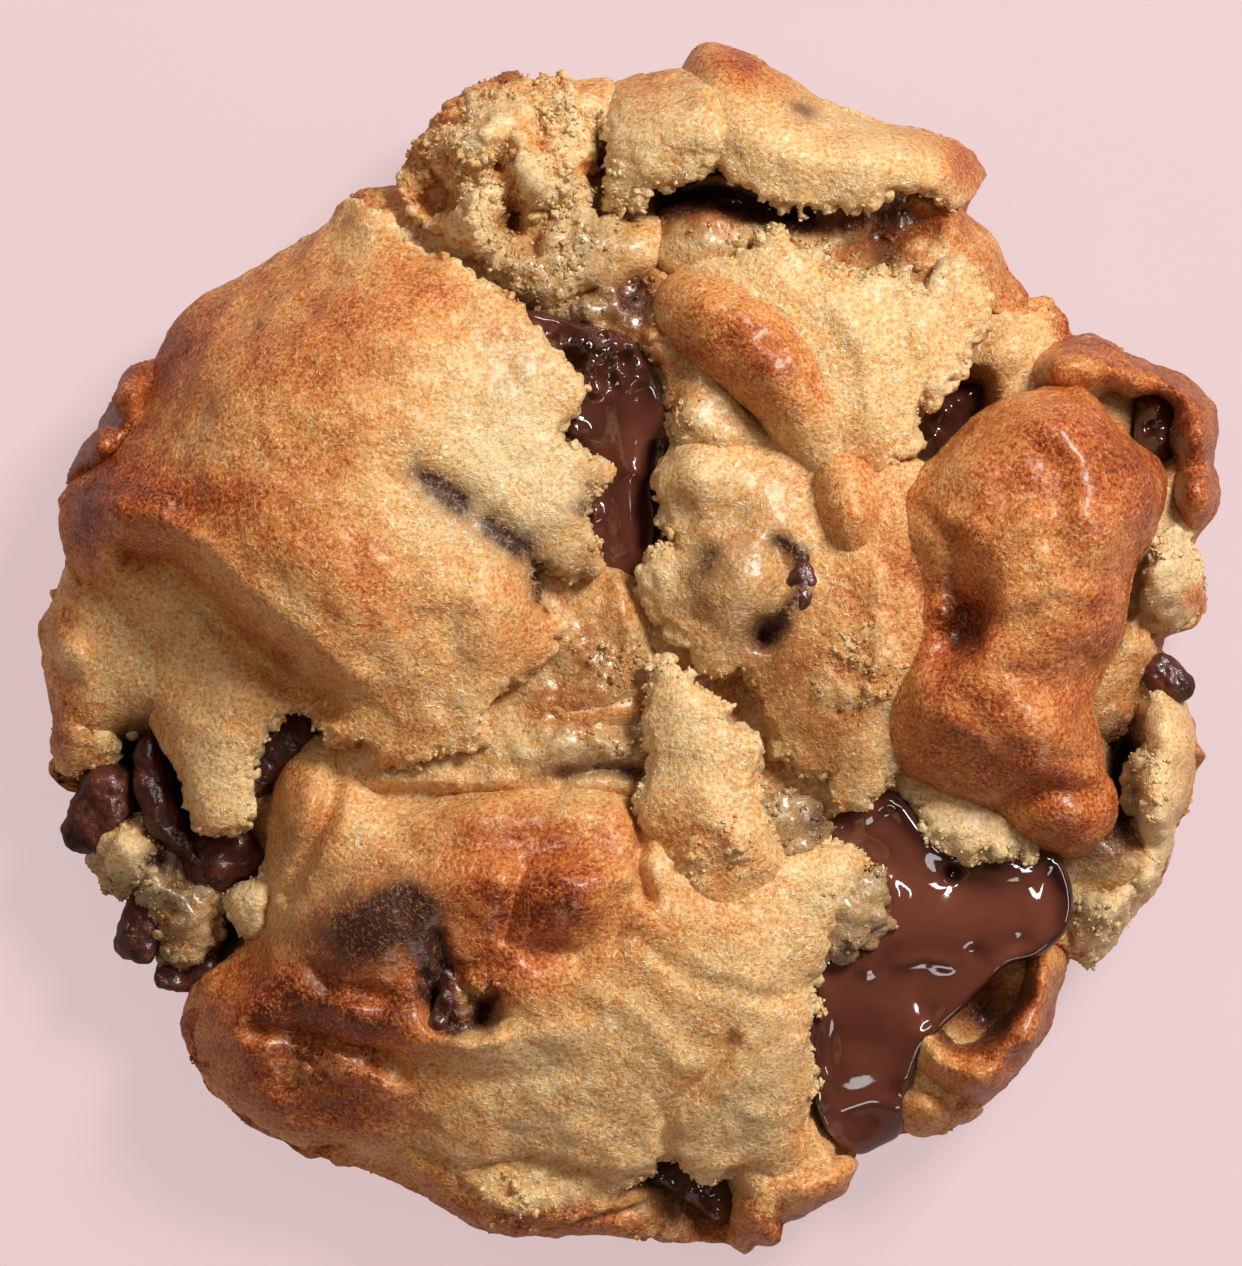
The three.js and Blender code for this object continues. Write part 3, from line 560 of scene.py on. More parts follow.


# The crust slabs and broken pieces. An outline row is x, y, height of the top there, and how torn the edge
# is; a heights row is x, y, height; bumps and crumbs are rows for blobs, and folds are rows for strokes.
# brown, wet and stain start with a base value, and lists of either kind of row follow it. Stain also paints shade
# in voids, cracks, crevices and hollows.

slabs = {
    "slabLeft": {
        "step": 0.25, "seed": 1, "round": 4.5, "lip": 4.6,
        "outline": [
            (-27.5, 44.6, 18, 0.5), (-24, 42.8, 21, 0.9), (-20, 39, 24, 1), (-18, 38.5, 25, 1), (-15, 36.5, 26.2, 1),
            (-12, 34, 26.8, 1), (-9.7, 32, 27.4, 1), (-8, 30, 27.6, 1), (-6, 28, 27.6, 1), (-4, 25.5, 27.4, 1),
            (-5, 23.6, 27.8, 1), (-6.8, 20.6, 28, 1), (-4, 19.4, 27.6, 1), (-2, 18, 27.2, 1), (-3.6, 15, 27.4, 1),
            (-4.5, 13, 27.4, 1), (-3, 11, 26.8, 1), (-2.5, 8.5, 26.4, 1), (-3.4, 7.2, 26.2, 1), (-5, 7, 26.4, 1),
            (-9.5, 8, 26.8, 1), (-8.7, 4.4, 26.6, 1), (-6.5, 2.5, 26.4, 0.9), (-8.5, -1.5, 26.6, 0.9),
            (-12, -4, 26.6, 1), (-14.5, -6, 26.6, 1), (-13.5, -9, 26, 1), (-17, -9.8, 26, 1), (-20, -10.5, 25.4, 1),
            (-22, -11, 25, 1), (-25.5, -12, 24.4, 1), (-26, -9.4, 24.8, 1), (-29, -9.5, 23.8, 1), (-30, -7.8, 23.8, 1),
            (-31, -6, 23.6, 1), (-33, -5.8, 22.8, 1), (-34.5, -7.5, 22, 1), (-36, -10, 21, 1), (-37, -12, 20.4, 1),
            (-37.2, -15.5, 20, 1), (-38.4, -17.6, 19.4, 1), (-41.5, -18, 18.6, 1), (-43, -17, 18.2, 0.8),
            (-44, -14, 17.8, 0.45), (-46, -10, 17, 0.3), (-48, -5.5, 15.8, 0.1), (-51, -1, 14.6, 0), (-53, 4, 14.4, 0),
            (-55.5, 9, 14, 0), (-56.3, 13, 14, 0), (-55.5, 16, 14.4, 0.1), (-53, 18.5, 15, 0.2), (-49.5, 22.5, 15.4, 0.2),
            (-47, 28, 14.4, 0.1), (-45.5, 32, 13.5, 0), (-43, 34.5, 13.5, 0), (-40, 36, 14, 0), (-37, 37.5, 14.4, 0),
            (-33, 40, 15, 0), (-30, 42, 15.6, 0.2)],
        "heights": [
            (-49.5, 13.4, 23.5), (-45, 13.6, 26.6), (-38.8, 9.8, 30), (-33.2, 4.6, 31.2), (-28, 0.8, 30.8), (-30, 18, 32.6),
            (-24, 14, 33), (-20, 24, 32), (-16, 14, 30.6), (-12, 22, 30), (-12, 5, 29.6), (-20, 3, 30.6),
            (-24, 33, 29.4), (-34, 31, 26.6), (-40, 26, 26.5), (-36, 20, 31), (-16, 31, 29.2), (-18, -4, 28.2),
            (-26, -4, 26.6), (-33, -2, 24), (-40, 2, 22), (-46, 6, 20), (-40, -9, 21.4), (-45, -2, 18),
            (-8, 13, 28.6), (-37, -5, 22.4), (-10, 26.5, 29), (-40, -15, 20.4)],
        "folds": [
            (1.9, 1.8, [(-53, 13.8), (-46.4, 13.4), (-40.6, 9.2), (-35, 3.8), (-30.4, 0), (-26.4, -3)]),
            (-3.3, 1.6, [(-48.6, 9), (-44.2, 7.4), (-40.8, 4), (-37.2, 0.2), (-33, -3), (-29.4, -5.4)]),
            (-0.7, 1.4, [(-47.6, 17.6), (-44.6, 19.6), (-42, 23)]),
            (-0.8, 1.8, [(-20.5, 17), (-17, 15), (-14.5, 13), (-10.5, 10.5)]),
            (0.5, 1.6, [(-15, 5), (-13, 1), (-14, -3)]), (-0.6, 1.5, [(-18, 3), (-16.5, -1), (-18, -5)]),
            (0.6, 2, [(-34, 28), (-28, 31), (-22, 30)]), (-0.5, 2, [(-36, 24), (-30, 26.5), (-24, 26)])],
        # painted light and shade on the ridge: the blob at (-32, 5.6) is paler where the crest is lit, and the soft
        # brown line below the crest darkens where its shade falls
        "brown": (0.50,
            [(-31, 31, 12, 5, 32, 0.16), (-20, 35, 5, 3, -35, 0.14), (-12, 20, 9, 11, 0, -0.46), (-6, 24, 5, -0.1),
             (-27, 9, 7, 4, -40, 0.08), (-22, 14, 6, -0.10), (-18, 1, 7, -0.14), (-16, -6, 7, 4, 0, -0.14),
             (-42, 0, 9, 6, -50, -0.20), (-40, -13, 5, 7, 20, -0.36), (-46, 14.4, 8, 3.4, 0, 0.38), (-54, 12, 3, 5, 0, 0.20),
             (-46, 28, 8, 4, 50, 0.30), (-51, 19, 4, 0.18), (-40, 22, 6, -0.06), (-7, 13, 4, 5, 0, -0.26),
             (-26, 40, 5, -0.22), (-32, 24, 6, -0.04), (-32, 9, 9, 4, -42, 0.06), (-32, 5.6, 2.6, -0.12)],
            [(0.26, 1.2, [(-49, 9.4), (-44.4, 9), (-40.4, 5.6), (-37, 2), (-33.6, -1)])]),
        "wet": (0.0, [(-8, 8, 3, 0.6), (-4, 14, 2, 0.5), (-13, 13, 5, 2, -35, 0.3), (-11, 28, 3, 5, 30, 0.3)]),
        "stainAndShade": (0.0, [(-8.3, 5.8, 1.4, 0.9), (-4, 8, 1.4, 0.5), (-5, 13.6, 1.3, 0.4), (-36, 31.7, 0.5, 0.7),
            (-38, 30, 0.7, 0.3, 0, 0.5), (-3.6, 17, 1.6, 0.3), (-12, 26, 2.4, 0.2)],
            [(0.80, 1.3, [(-20.6, 17.4), (-18.8, 16.2), (-16.4, 14.4)]), (0.70, 1.3, [(-13.6, 12), (-12, 11), (-10.4, 10)]),
             (0.40, 1.7, [(-19, 15.4), (-13, 12), (-8, 8.6)])]),
    },
    "slabTopRight": {
        "seed": 2, "round": 4, "lip": 4.2,
        "outline": [
            (8.8, 46.4, 25.5), (9, 45.2, 25.6), (11, 44.9, 25.8), (13, 43.4, 26), (16, 42.7, 26), (16.5, 41.9, 25.8),
            (17.5, 42.8, 26), (20, 43.7, 26), (22, 43.3, 25.6), (24, 42.9, 25), (25.5, 44.4, 24.6), (29, 44.2, 22.6, 0.9),
            (32, 43.8, 20, 0.6), (33.6, 44.4, 17, 0.1), (35, 46.5, 13.6, 0), (34.7, 48, 13, 0), (33, 50, 13, 0),
            (29, 51.5, 13.6, 0), (25, 52.1, 14.4, 0), (20, 54.1, 15, 0), (17, 55.4, 15, 0), (14, 57.6, 14.6, 0),
            (11, 59.3, 14, 0), (8, 60, 13.6, 0), (6.3, 59.2, 13.6, 0), (4.6, 56.6, 14.6, 0), (3.0, 53, 19.4, 0.2),
            (5.0, 49.5, 23, 0.5)],
        "heights": [(12, 49, 27), (20, 47.5, 27), (27, 47.5, 24.5), (10, 53.5, 24), (16, 51.5, 24.6), (24, 49, 25),
            (9.5, 57, 19.5), (31.5, 47, 20.5)],
        "folds": [(0.8, 1.6, [(8, 57.8), (12, 57), (16, 53.6)])],
        "brown": (0.22,
            [(10.5, 58, 5, 3, -25, 0.52), (16, 55, 6, 1.6, -30, 0.24), (33.5, 47.5, 3, 0.46), (30, 50.8, 6, 1.8, -15, 0.22),
             (20, 46, 8, -0.08), (6.5, 57, 2, 0.2)]),
        "wet": (0.0, [(17, 52.7, 1.6, 0.5)]), "stainAndShade": (0.0, [(17, 52.8, 1.6, 0.7, -20, 0.7)]),
    },
    "pieceTop": {
        "seed": 3, "round": 3, "lip": 3.6, "crumbReach": 2.4,
        "outline": [
            (-2.3, 50, 21.5), (-2, 46, 22), (-2, 43.6, 21.5), (0, 43.5, 21.8), (1.2, 44.4, 22.4), (2.5, 45, 22.8),
            (5, 45.5, 23.6), (8, 47.2, 25.2), (10.6, 48.6, 25.6, 0), (11.4, 52, 24, 0), (9, 56.4, 19, 0),
            (5.4, 57.2, 15.4, 0.1), (2, 57, 14.4, 0), (-1, 56, 14.6, 0.1), (-2.4, 53, 18, 0.5)],
        "heights": [(3, 49.5, 25.4), (2.2, 53.5, 21.5), (0.5, 46.5, 24.2), (6.4, 50, 26), (8.6, 51, 26), (8, 54.4, 22.6)],
        "crumbs": [(1, 46, 4, 0.5), (7, 47.4, 3, 0.7)],
        "brown": (0.26, [(2, 56, 5, 2.5, 0, 0.25), (3, 48, 4, -0.10)]),
    },
    "slabCentreTop": {
        "seed": 6, "round": 3, "lip": 3.6,
        "outline": [
            (4.4, 36.8, 23.6, 0.4), (9.5, 38.2, 24.6), (12, 39.5, 24.8), (14.5, 41.2, 24.6), (16, 40.5, 24.8),
            (18, 38.6, 25), (19.5, 37.2, 25), (21, 37, 25), (22.5, 36.4, 25), (24.5, 36.5, 24.8), (28, 36, 24.2),
            (28.8, 35.4, 24), (31, 38, 23), (33, 37.5, 22), (35.5, 34.5, 21.5), (34.6, 31, 22.4), (33, 29.5, 23.4),
            (32.8, 27.5, 24), (32, 25.5, 24.4), (30, 23.4, 25), (28.7, 24.3, 25.2), (28, 22, 25.6), (28.2, 18.8, 26),
            (25, 18.2, 26), (23.6, 15, 26, 0.5), (21, 12, 24, 0.1), (17, 15, 23.6, 0), (12.6, 21, 23.4, 0),
            (9.5, 25, 23.4, 0), (5.6, 29, 23.4, 0), (3.6, 33.5, 23.2, 0)],
        "heights": [(19, 33, 27), (24, 31, 26.8), (28.5, 31, 25.6), (24, 25, 27), (23.4, 20.5, 27), (13, 36.5, 26),
            (31, 34, 24), (21.5, 27, 27.4), (9, 34.5, 25.4), (14.5, 21, 25), (10.5, 28, 24.8)],
        "folds": [(0.5, 1.4, [(20, 34), (23, 29), (23.5, 23)]), (-0.5, 1.2, [(26, 34), (27, 28)])],
        "brown": (0.26,
            [(24, 31, 6, -0.10), (12, 36, 5, 3, 0, -0.02), (23, 17, 4, 0.25), (33, 33, 4, 0.05), (29, 25, 4, 0.02),
             (9, 24, 5, 0.05), (22, 12, 4, 0.25)]),
        "wet": (0.0, [(30, 37, 3, 0.4)]),
    },
    "ridgeSausage": {
        "seed": 7, "round": 3.2, "lip": 5.5, "torn": 0, "swell": 0.35,
        "outline": [
            (2.2, 34.2, 26), (4.4, 36.8, 26), (8.6, 36.8, 26.8), (12.8, 35, 27.6), (17, 31.4, 27.8), (20.2, 26.4, 27.6),
            (22.6, 21.6, 27), (23, 16.8, 26), (19.6, 14.6, 25.4), (15, 18.6, 26), (12, 22.6, 27), (8.8, 25.8, 26.8),
            (5, 28.8, 26.4), (2.4, 31.4, 25.8)],
        "heights": [(5.6, 33, 28.2), (9.6, 31.6, 29.8), (13, 28.8, 30.4), (16, 24.4, 29.6),
            (18.4, 20.2, 27.6), (20, 17, 26.4)],
        "bumps": [(7, 34, 1.8, 0.6), (11.6, 33, 1.6, 0.5), (14, 26.6, 1.6, 0.8), (10, 29, 1.5, -0.7), (17, 28, 1.6, 0.6),
            (13, 30.4, 1.4, -0.5)],
        "brown": (0.54, [(12, 29.4, 6, 2.6, -45, 0.14), (19.6, 18, 4, 5, 0, -0.30), (3.4, 32, 2.4, -0.12),
            (8, 27.4, 5, 1.2, -40, 0.12), (15, 22, 3, -0.08), (10, 35.6, 5, 1.6, -20, -0.08)]),
    },
    "bumpCentre": {
        "seed": 8, "round": 2.8, "lip": 5, "torn": 0,
        "outline": [(17.6, 16.6, 27), (19.4, 20.6, 26.4), (22.8, 20.2, 26.4), (24.6, 16.6, 27.4), (24.6, 11.6, 27.6),
            (22.8, 8.6, 27.2), (19.6, 9, 27.2), (18, 12, 27.4)],
        "heights": [(21.4, 12.6, 29.4), (21.2, 17.4, 28.2)],
        "brown": (0.46, [(21.5, 12.4, 3.4, 0.14)]),
    },
    "slabCentre": {
        "seed": 9, "round": 3, "lip": 3.8,
        "outline": [
            (2.4, 17.6, 24.4, 0.6), (3, 14.2, 25, 0.9), (3.6, 12.4, 25.4), (4.8, 10.6, 25.8), (3.4, 9.8, 25.6),
            (1.8, 9.3, 25.2), (1, 7.9, 25), (1.4, 5.6, 25.2), (1.6, 4, 25.4), (3, 2.5, 25.6), (4.3, 0.9, 25.6),
            (6, -0.4, 25.4), (7.2, -2.2, 25), (9, -2.4, 25), (11, -1.6, 25.4), (12, -3.6, 25), (12.6, -6, 24.8),
            (13.6, -7.6, 24.8), (14.5, -10, 24.6), (16, -12, 24.4), (17.5, -12.9, 24.2), (19, -12.2, 24.4),
            (19.8, -14, 24), (19.4, -16, 23.6), (20.2, -16.6, 23.4), (23, -15, 23.8), (25.6, -12.6, 24.2),
            (29, -8, 24, 0.2), (36, -4, 24, 0), (37, 8, 24, 0), (33, 15, 25, 0), (28, 19, 25, 0), (20, 21, 24.6, 0),
            (12, 21.5, 24, 0), (5.6, 21.5, 23.6, 0.2)],
        "heights": [(7, 17, 27.2), (10.5, 6.4, 28), (15, 12, 27), (18, 4, 26.8), (22, 8, 27.2), (17, -3, 26.4),
            (22, -4, 26.8), (19, -9, 25.6), (23, -11, 25.2), (5, 6, 26.6), (25, 3, 27.4), (28, -2, 27), (30.4, 4, 26.6),
            (27, 9, 27.6), (29, 11, 27)],
        "bumps": [(10.5, 6.4, 4.6, 1.6), (13.2, 1.4, 1.5, -3.6), (6.5, 17, 3.6, 1.2), (4.8, 13.6, 1.6, -0.8),
            (10, 12.6, 2.4, -1.2), (16.6, 8, 2, -0.8), (17, 15, 2.4, -0.8)],
        "folds": [(1, 1.2, [(15.4, 3.4), (17, 6.4), (16.4, 10.4)]), (-0.9, 1, [(13.8, 3), (15, 6.4), (14.4, 9.8)]),
            (0.5, 1.2, [(24, 7), (24.6, 1), (23, -5)])],
        "crumbs": [(23, 0, 5, 0.85), (3, 8, 3, 0.6), (21, -5, 5, 0.5)],
        # partly painted shade: the blob at (14.6, -2) and the stain at (15, -2.6) darken ground below the lower-left
        # edge, partly browning
        "brown": (0.30,
            [(6.5, 17, 4, -0.16), (23, 2, 5, 7, 0, 0.30), (24, 14, 4, 0.22), (18, -8, 5, -0.02), (17, 3, 4, 0.06),
             (22, -10, 4, 0.02), (3, 7, 3, -0.14), (12, 14, 5, 0.02), (14.6, -2, 3.4, 0.34),
             (19.4, -8, 3.4, 4, 0, 0.26), (31.5, 3.5, 4, 7, 10, 0.42), (26.5, 9, 2.5, 0.24)]),
        "wet": (0.0, [(10, 7, 5, 0.6), (12.5, 0.5, 4, 0.7), (14, 12, 4, 0.3), (18, -7, 7, 1.0), (9, 13, 4, 0.3)]),
        "stainAndShade": (0.0, [(13.2, 1.2, 1.8, 0.9), (8, 8.6, 2.6, 0.34), (15, -2.6, 2, 0.2)],
            [(0.85, 1.0, [(14.6, 2.6), (16.8, 5.6), (16.6, 9.4), (14.4, 11)]),
             (0.35, 1.2, [(7, 4), (6.4, 7), (8, 9.6)])]),
    },
    "slabRight": {
        "step": 0.24, "seed": 10, "round": 4.4, "lip": 6.2, "torn": 0.08,
        "outline": [
            (37.6, 25.2, 26), (41, 25.6, 26), (44.6, 25.4, 25.6), (47, 23.4, 25), (49.4, 20.6, 24.4), (52, 18.6, 24),
            (52.6, 15.4, 24), (51.6, 12, 24.2), (50, 9, 24.4), (49, 5, 24.8), (48.4, 1, 25), (46.8, -1.5, 25),
            (45.4, -4, 25), (45.2, -6, 25),
            (46.2, -9, 24.6), (46.5, -11.5, 24.2), (47.5, -13, 23.6), (48, -15.5, 22.8), (47, -18, 22), (45, -19.8, 21.6),
            (42, -20.2, 21.4), (39, -19.5, 21.6), (37, -17.4, 22.2), (34, -15.8, 23, 0.4), (31, -14.2, 23.8, 0.4),
            (27, -12, 24.6, 0.3), (24.2, -10, 25.2), (23.4, -8, 25.4), (24.2, -4.6, 25.8), (25.6, -1, 26), (26.2, 3, 26),
            (25.8, 7, 26), (25.2, 11, 26), (25.2, 13.8, 26.4), (27, 16.6, 27),
            (29.6, 19, 26.8), (32, 21.4, 26.4), (35, 23.8, 26.2)],
        "heights": [
            (31.6, 13.6, 31.6), (34, 17.4, 32.4), (38, 21.4, 32.2), (42.4, 22.6, 31), (40, 16, 34), (46.6, 18.6, 31.4),
            (36, 9, 33.8), (42, 10, 34.6), (46.6, 10, 32.4), (38, 1, 33), (44, 2, 31.8), (31, -3, 31.4), (38, -6, 32),
            (43, -8, 29.4), (29.6, -8, 29.4), (37, -12, 27.4), (44, -15.5, 25.6), (40, -17, 24.8), (29.6, 8, 28.8),
            (30, 4.4, 28.2), (29.6, 11.6, 30), (28.8, -1, 28.6)],
        "bumps": [
            (32.4, 2.4, 4, 1.7, 58, -3.4), (30.2, 3.6, 1.4, 0.9), (47, 8, 5, 0.6), (36, 19, 4, -0.8),
            (35.6, -1.4, 3, 1.0), (43, 14, 4, 0.8),
            (31.8, 5.6, 1.6, -1.6), (27.8, -2.6, 2, 0.8), (35.6, 6.6, 2.4, 0.8), (31.4, 10.6, 1.6, -0.7),
            (44.6, -17.4, 2.4, 1.0), (38.6, -17.2, 1.6, 0.6), (30.4, -11.6, 1.6, 0.6), (33, 18, 2, 0.6), (49, 13, 2, 0.5)],
        "folds": [
            (-1.6, 1.2, [(37.6, -14.8), (41, -13.6), (45.6, -14)]), (0.9, 2, [(29, -5), (34, -8), (40, -10)]),
            (-1, 1.6, [(36, -2), (41, -3.6), (45.6, -2)]), (0.9, 1.6, [(48, 21), (50, 15), (49, 8), (47, 2)]),
            (-0.9, 1.6, [(38, 21), (42, 17), (41, 11)]), (0.8, 1.6, [(31, 12), (35, 10), (39, 13)]),
            (0.7, 1.4, [(31, 17), (36, 20.6), (42, 22)]), (-0.6, 1.2, [(33, -6), (37, -9.6), (44, -10.6)]),
            (0.5, 1, [(36, 4), (41, 6), (46, 5)]), (-0.8, 1.1, [(28.6, 13.4), (31.4, 11), (31.8, 7)]),
            (0.6, 1.0, [(44.4, 1.6), (46, -1)]), (0.6, 1.2, [(46, 19.6), (49, 18.4)])],
        # partly painted shade: the blob at (32.4, 2.4) and the stain at (32.8, 1.8) darken the hollow, over
        # reddish-brown crust
        "brown": (0.67,
            [(40, 11, 7, -0.08), (32.6, 3, 3, 0.16), (45, 19, 6, 0.16), (36, -8, 8, 4, 0, 0.06), (44, -17, 4, 0.12),
             (31, 18, 3, -0.14), (27, 6, 2.2, 9, 0, -0.24), (51, 12, 3, 0.04), (38, 24, 5, 2, 0, -0.10),
             (32.4, 2.4, 2.6, 0.34), (40, -13.6, 5, 1.6, -4, 0.14)]),
        "wet": (0.0, [(38, 2, 5, 0.12)]),
        "stainAndShade": (0.0, [(32.8, 1.8, 1.3, 0.2)]),
    },
    "lipRight": {
        "seed": 11, "round": 1.6, "lip": 3.4, "crumbReach": 3,
        "outline": [(27, -13.4, 21.4, 0.3), (28.6, -15.8, 21.6), (28.9, -18.8, 21.4), (31.4, -20.2, 21.4), (33.8, -21, 21.4),
            (37.6, -20.4, 21.4), (40.6, -21.3, 21), (40, -18, 21, 0), (34, -13.6, 21.4, 0)],
        "heights": [(31, -17.4, 22.6), (35, -18.6, 22.4)],
        "brown": (0.10, [(36, -19, 4, 0.06)]), "wet": (0.05, [(39, -20, 3, 0.4)]),
    },
    "slabLower": {
        "step": 0.25, "seed": 12, "round": 6, "lip": 6.4,
        "outline": [
            (-34, -10.6, 18.4, 0.3), (-31, -8.4, 19.6, 0.3), (-27.5, -9.4, 20.8, 0), (-24, -13, 21.6, 0),
            (-20, -14.2, 22.4, 0),
            (-15, -12.6, 23, 0), (-8, -12.6, 23.4, 0.1), (-2, -12.8, 23.6, 0.1), (0.4, -14.2, 24, 0.2), (3, -14.6, 24.4, 0),
            (7, -14, 24.4, 0), (11, -15, 24.4, 0), (15, -18.2, 24.8, 0), (18.6, -18.6, 24.8, 0.8),
            (21, -19, 24.2), (23.6, -20.8, 23.4), (22.4, -23.4, 24), (20.4, -25.6, 24.4), (19.4, -29, 24.2), (17.8, -33, 23),
            (19.2, -35, 22.6), (18, -37, 22), (17.4, -40, 21), (18.3, -42, 20), (17.5, -45, 18.8), (17.4, -48, 17.4),
            (18.6, -50.6, 16.2), (15, -51.4, 16.6), (10, -51.4, 17), (8, -52.2, 17), (5.4, -50.8, 17.6), (3.4, -49.8, 18),
            (2, -51.2, 17.4), (0, -52.8, 17), (-2, -52, 17.2), (-5, -51, 17.4), (-8, -50.5, 17.2), (-13, -51, 16.4),
            (-17, -50.7, 15.8), (-22, -49.9, 15, 0.7), (-25.5, -50.6, 13.4, 0.2), (-31, -49.6, 12, 0), (-35.5, -48, 12, 0),
            (-40, -45, 12, 0), (-42.7, -41, 12, 0), (-44.2, -37.5, 12.2, 0), (-43.6, -34, 13, 0.3), (-41.4, -31.6, 14, 0.6),
            (-38, -29.2, 15, 0.5), (-36.6, -26, 16, 0.6), (-36.2, -21, 17, 0.4), (-35.6, -15, 17.8, 0.3)],
        "heights": [
            (-32, -13, 21.8), (-31.6, -19, 22.4), (-25, -18, 24.4), (-16, -17, 26.6), (-8, -16.6, 27), (-2, -18, 27.6),
            (-6, -24, 28.4), (-17, -23, 27.8), (-25, -25, 25.4), (-32, -27, 21.6), (-38, -35, 18), (-32, -36, 20.6),
            (-26, -33, 24), (-20, -38, 24), (-30, -44, 18), (-36, -42, 17), (-16, -31, 26.2), (-8, -32, 27.2), (0, -30, 28),
            (8, -29, 28), (14, -28, 26.6), (14, -38, 23.6), (6, -38, 25), (-4, -40, 24.6), (-14, -43, 21.8),
            (-22, -45, 18.6), (4, -46, 21.2), (-6, -47.6, 20), (13, -46, 20.6), (7, -20, 26.4), (9, -25.4, 27.6)],
        "bumps": [
            (-6, -23.6, 3.6, 3.4), (-2.4, -21.6, 2.4, 1.4), (-13, -22.8, 3.4, 1.8), (-19, -22.6, 3, 1.2),
            (-14.2, -35.2, 1.6, -4), (-18.4, -34.6, 2, -1.6), (-32, -41, 3, -1.2), (-24.5, -42.4, 2.6, 1.2),
            (-25.4, -27.4, 5.4, 2.2), (-20.6, -30.6, 2, -0.8), (12, -33, 4, 0.8), (13.5, -42, 4, 1.1), (-33, -16.5, 3, 1),
            (-37.6, -39, 3, 1.2), (-28.6, -39.4, 1.4, 0.9), (-34.6, -44.6, 2, 0.9), (-10, -33.4, 2.4, 1.1),
            (-27.4, -34.6, 2, 0.9), (-33.4, -31, 2, 0.8), (19.6, -22, 2, 0.8)],
        "folds": [
            (1.1, 1.8, [(-20, -17), (-15, -15.4), (-8, -14.8), (-2, -15.2)]),
            (-0.8, 1.6, [(-19, -20.2), (-14, -19), (-8, -19.4), (-4, -18.4), (-1, -20)]),
            (-1.6, 1.5, [(-9, -29.4), (-5, -29.6), (-1.6, -27.4), (-0.4, -24)]),
            (-1.0, 0.9, [(-10.2, -21), (-11.4, -25), (-12, -28)]), (-1.3, 0.9, [(-18.6, -28), (-18, -31), (-19, -34)]),
            (-2.0, 1.0, [(-28.4, -11.5), (-29.2, -15), (-31, -19), (-33.4, -24)]),
            (-0.9, 0.7, [(-17.6, -30.6), (-15.4, -33.6), (-13, -34)]),
            (1.2, 1.8, [(-40, -37), (-34, -33), (-27, -35.6), (-20, -38.4), (-13, -38)]),
            (-1.7, 1.1, [(-37, -37.4), (-31, -37.8), (-26, -39.4), (-22, -41.4)]),
            (-1.2, 0.9, [(-20, -32), (-18.6, -36.4), (-15.4, -37.4), (-13, -35.4)]),
            (-0.9, 0.9, [(-31, -31), (-29, -33.4), (-24, -33.6)]), (0.8, 1.2, [(-39, -43), (-33, -47), (-26, -47.6)]),
            (-1.2, 0.8, [(10, -38), (8, -41), (6, -43), (3.5, -45.5), (3.2, -47.5), (4, -50)]),
            (0.6, 1.2, [(11.4, -38.4), (9.6, -41.6), (7.4, -44), (5.6, -46.4)]),
            (0.7, 1.8, [(-22, -36), (-14, -39), (-6, -37)]), (-0.6, 1.6, [(-24, -39.6), (-15, -42), (-6, -41)]),
            (-2.2, 0.8, [(0.6, -15.4), (1.2, -18), (0.8, -21), (1.8, -24)]), (0.5, 1.4, [(-4, -33), (2, -36), (5, -40)]),
            (-0.6, 1.0, [(-20, -20.4), (-27, -22), (-32, -24)]), (-0.5, 1.0, [(1, -28), (6, -32), (14, -34)])],
        "crumbs": [(-32, -40, 5, 3, -20, 0.9), (-15, -34.6, 3, 0.7), (-12, -31, 5, 0.3), (14, -47, 4, 0.35),
            (0, -49, 8, 3, 0, 0.4), (20.4, -22.4, 3, 0.8), (-18, -34, 3, 0.7), (-36.6, -35.6, 2, 3, 0, 0.6),
            (-24, -41, 4, 2, -30, 0.5), (-31, -15, 3, 0.3)],
        # partly painted shade: the brown band at (-12, -17.8) darkens the crease below the upper fold
        "brown": (0.27,
            [(-5.8, -23.6, 4.6, 0.58), (-33, -15, 3, 6, 0, 0.38), (-29, -16, 1.6, 6, -20, 0.2), (-12, -17.8, 9, 3, 0, 0.44),
             (-13.5, -24.4, 5, 4, 0, 0.44), (-22, -26, 7, 5, 10, 0.38), (-12, -31.6, 8, 4, 10, 0.52), (-10, -44, 6, -0.14),
             (-23, -36, 9, 4.6, 10, 0.50), (-37, -40, 9, 7, -50, 0.50), (-30, -33, 6, 0.34), (-26, -43.6, 8, 4, -10, 0.34),
             (-37, -33, 5, 0.30), (-14, -45, 9, 4, 0, 0.08), (0, -18, 3, 0.3),
             (-29, -47, 8, 3, -15, 0.18), (5, -34, 8, 0.02), (14, -40, 5, -0.10), (18.5, -49, 3, 0.3),
             (4, -25.4, 5, 3, 0, 0.16)]),
        "wet": (0.0, [(14, -40, 3.4, 0.6), (-15, -34, 3, 0.5), (-31, -41, 4, 0.4), (-33, -16, 3, 7, 0, 0.5),
            (-26, -27, 6, 5, 26, 0.4), (-12, -16, 8, 2.4, 0, 0.3)]),
        "stainAndShade": (0.0,
            [(-26.6, -27.4, 5.6, 3.8, 30, 0.98), (-21.4, -25.4, 3, 2.8, 0, 1.15), (-19, -29.6, 1.7, 3, 10, 1.2),
             (-18, -34.4, 1.4, 3.4, 20, 1.3), (-14.6, -35.4, 1.6, 1.0), (-36, -38, 6, 0.1), (-23, -36, 3, 1, 20, 0.35)],
            [(0.6, 0.6, [(-20.6, -33), (-18.6, -34.6)]), (0.7, 0.5, [(-17.4, -37), (-15, -36.4), (-13, -33.6)])]),
    },
    "flapCentre": {
        "seed": 13, "round": 2.2, "lip": 4,
        "outline": [
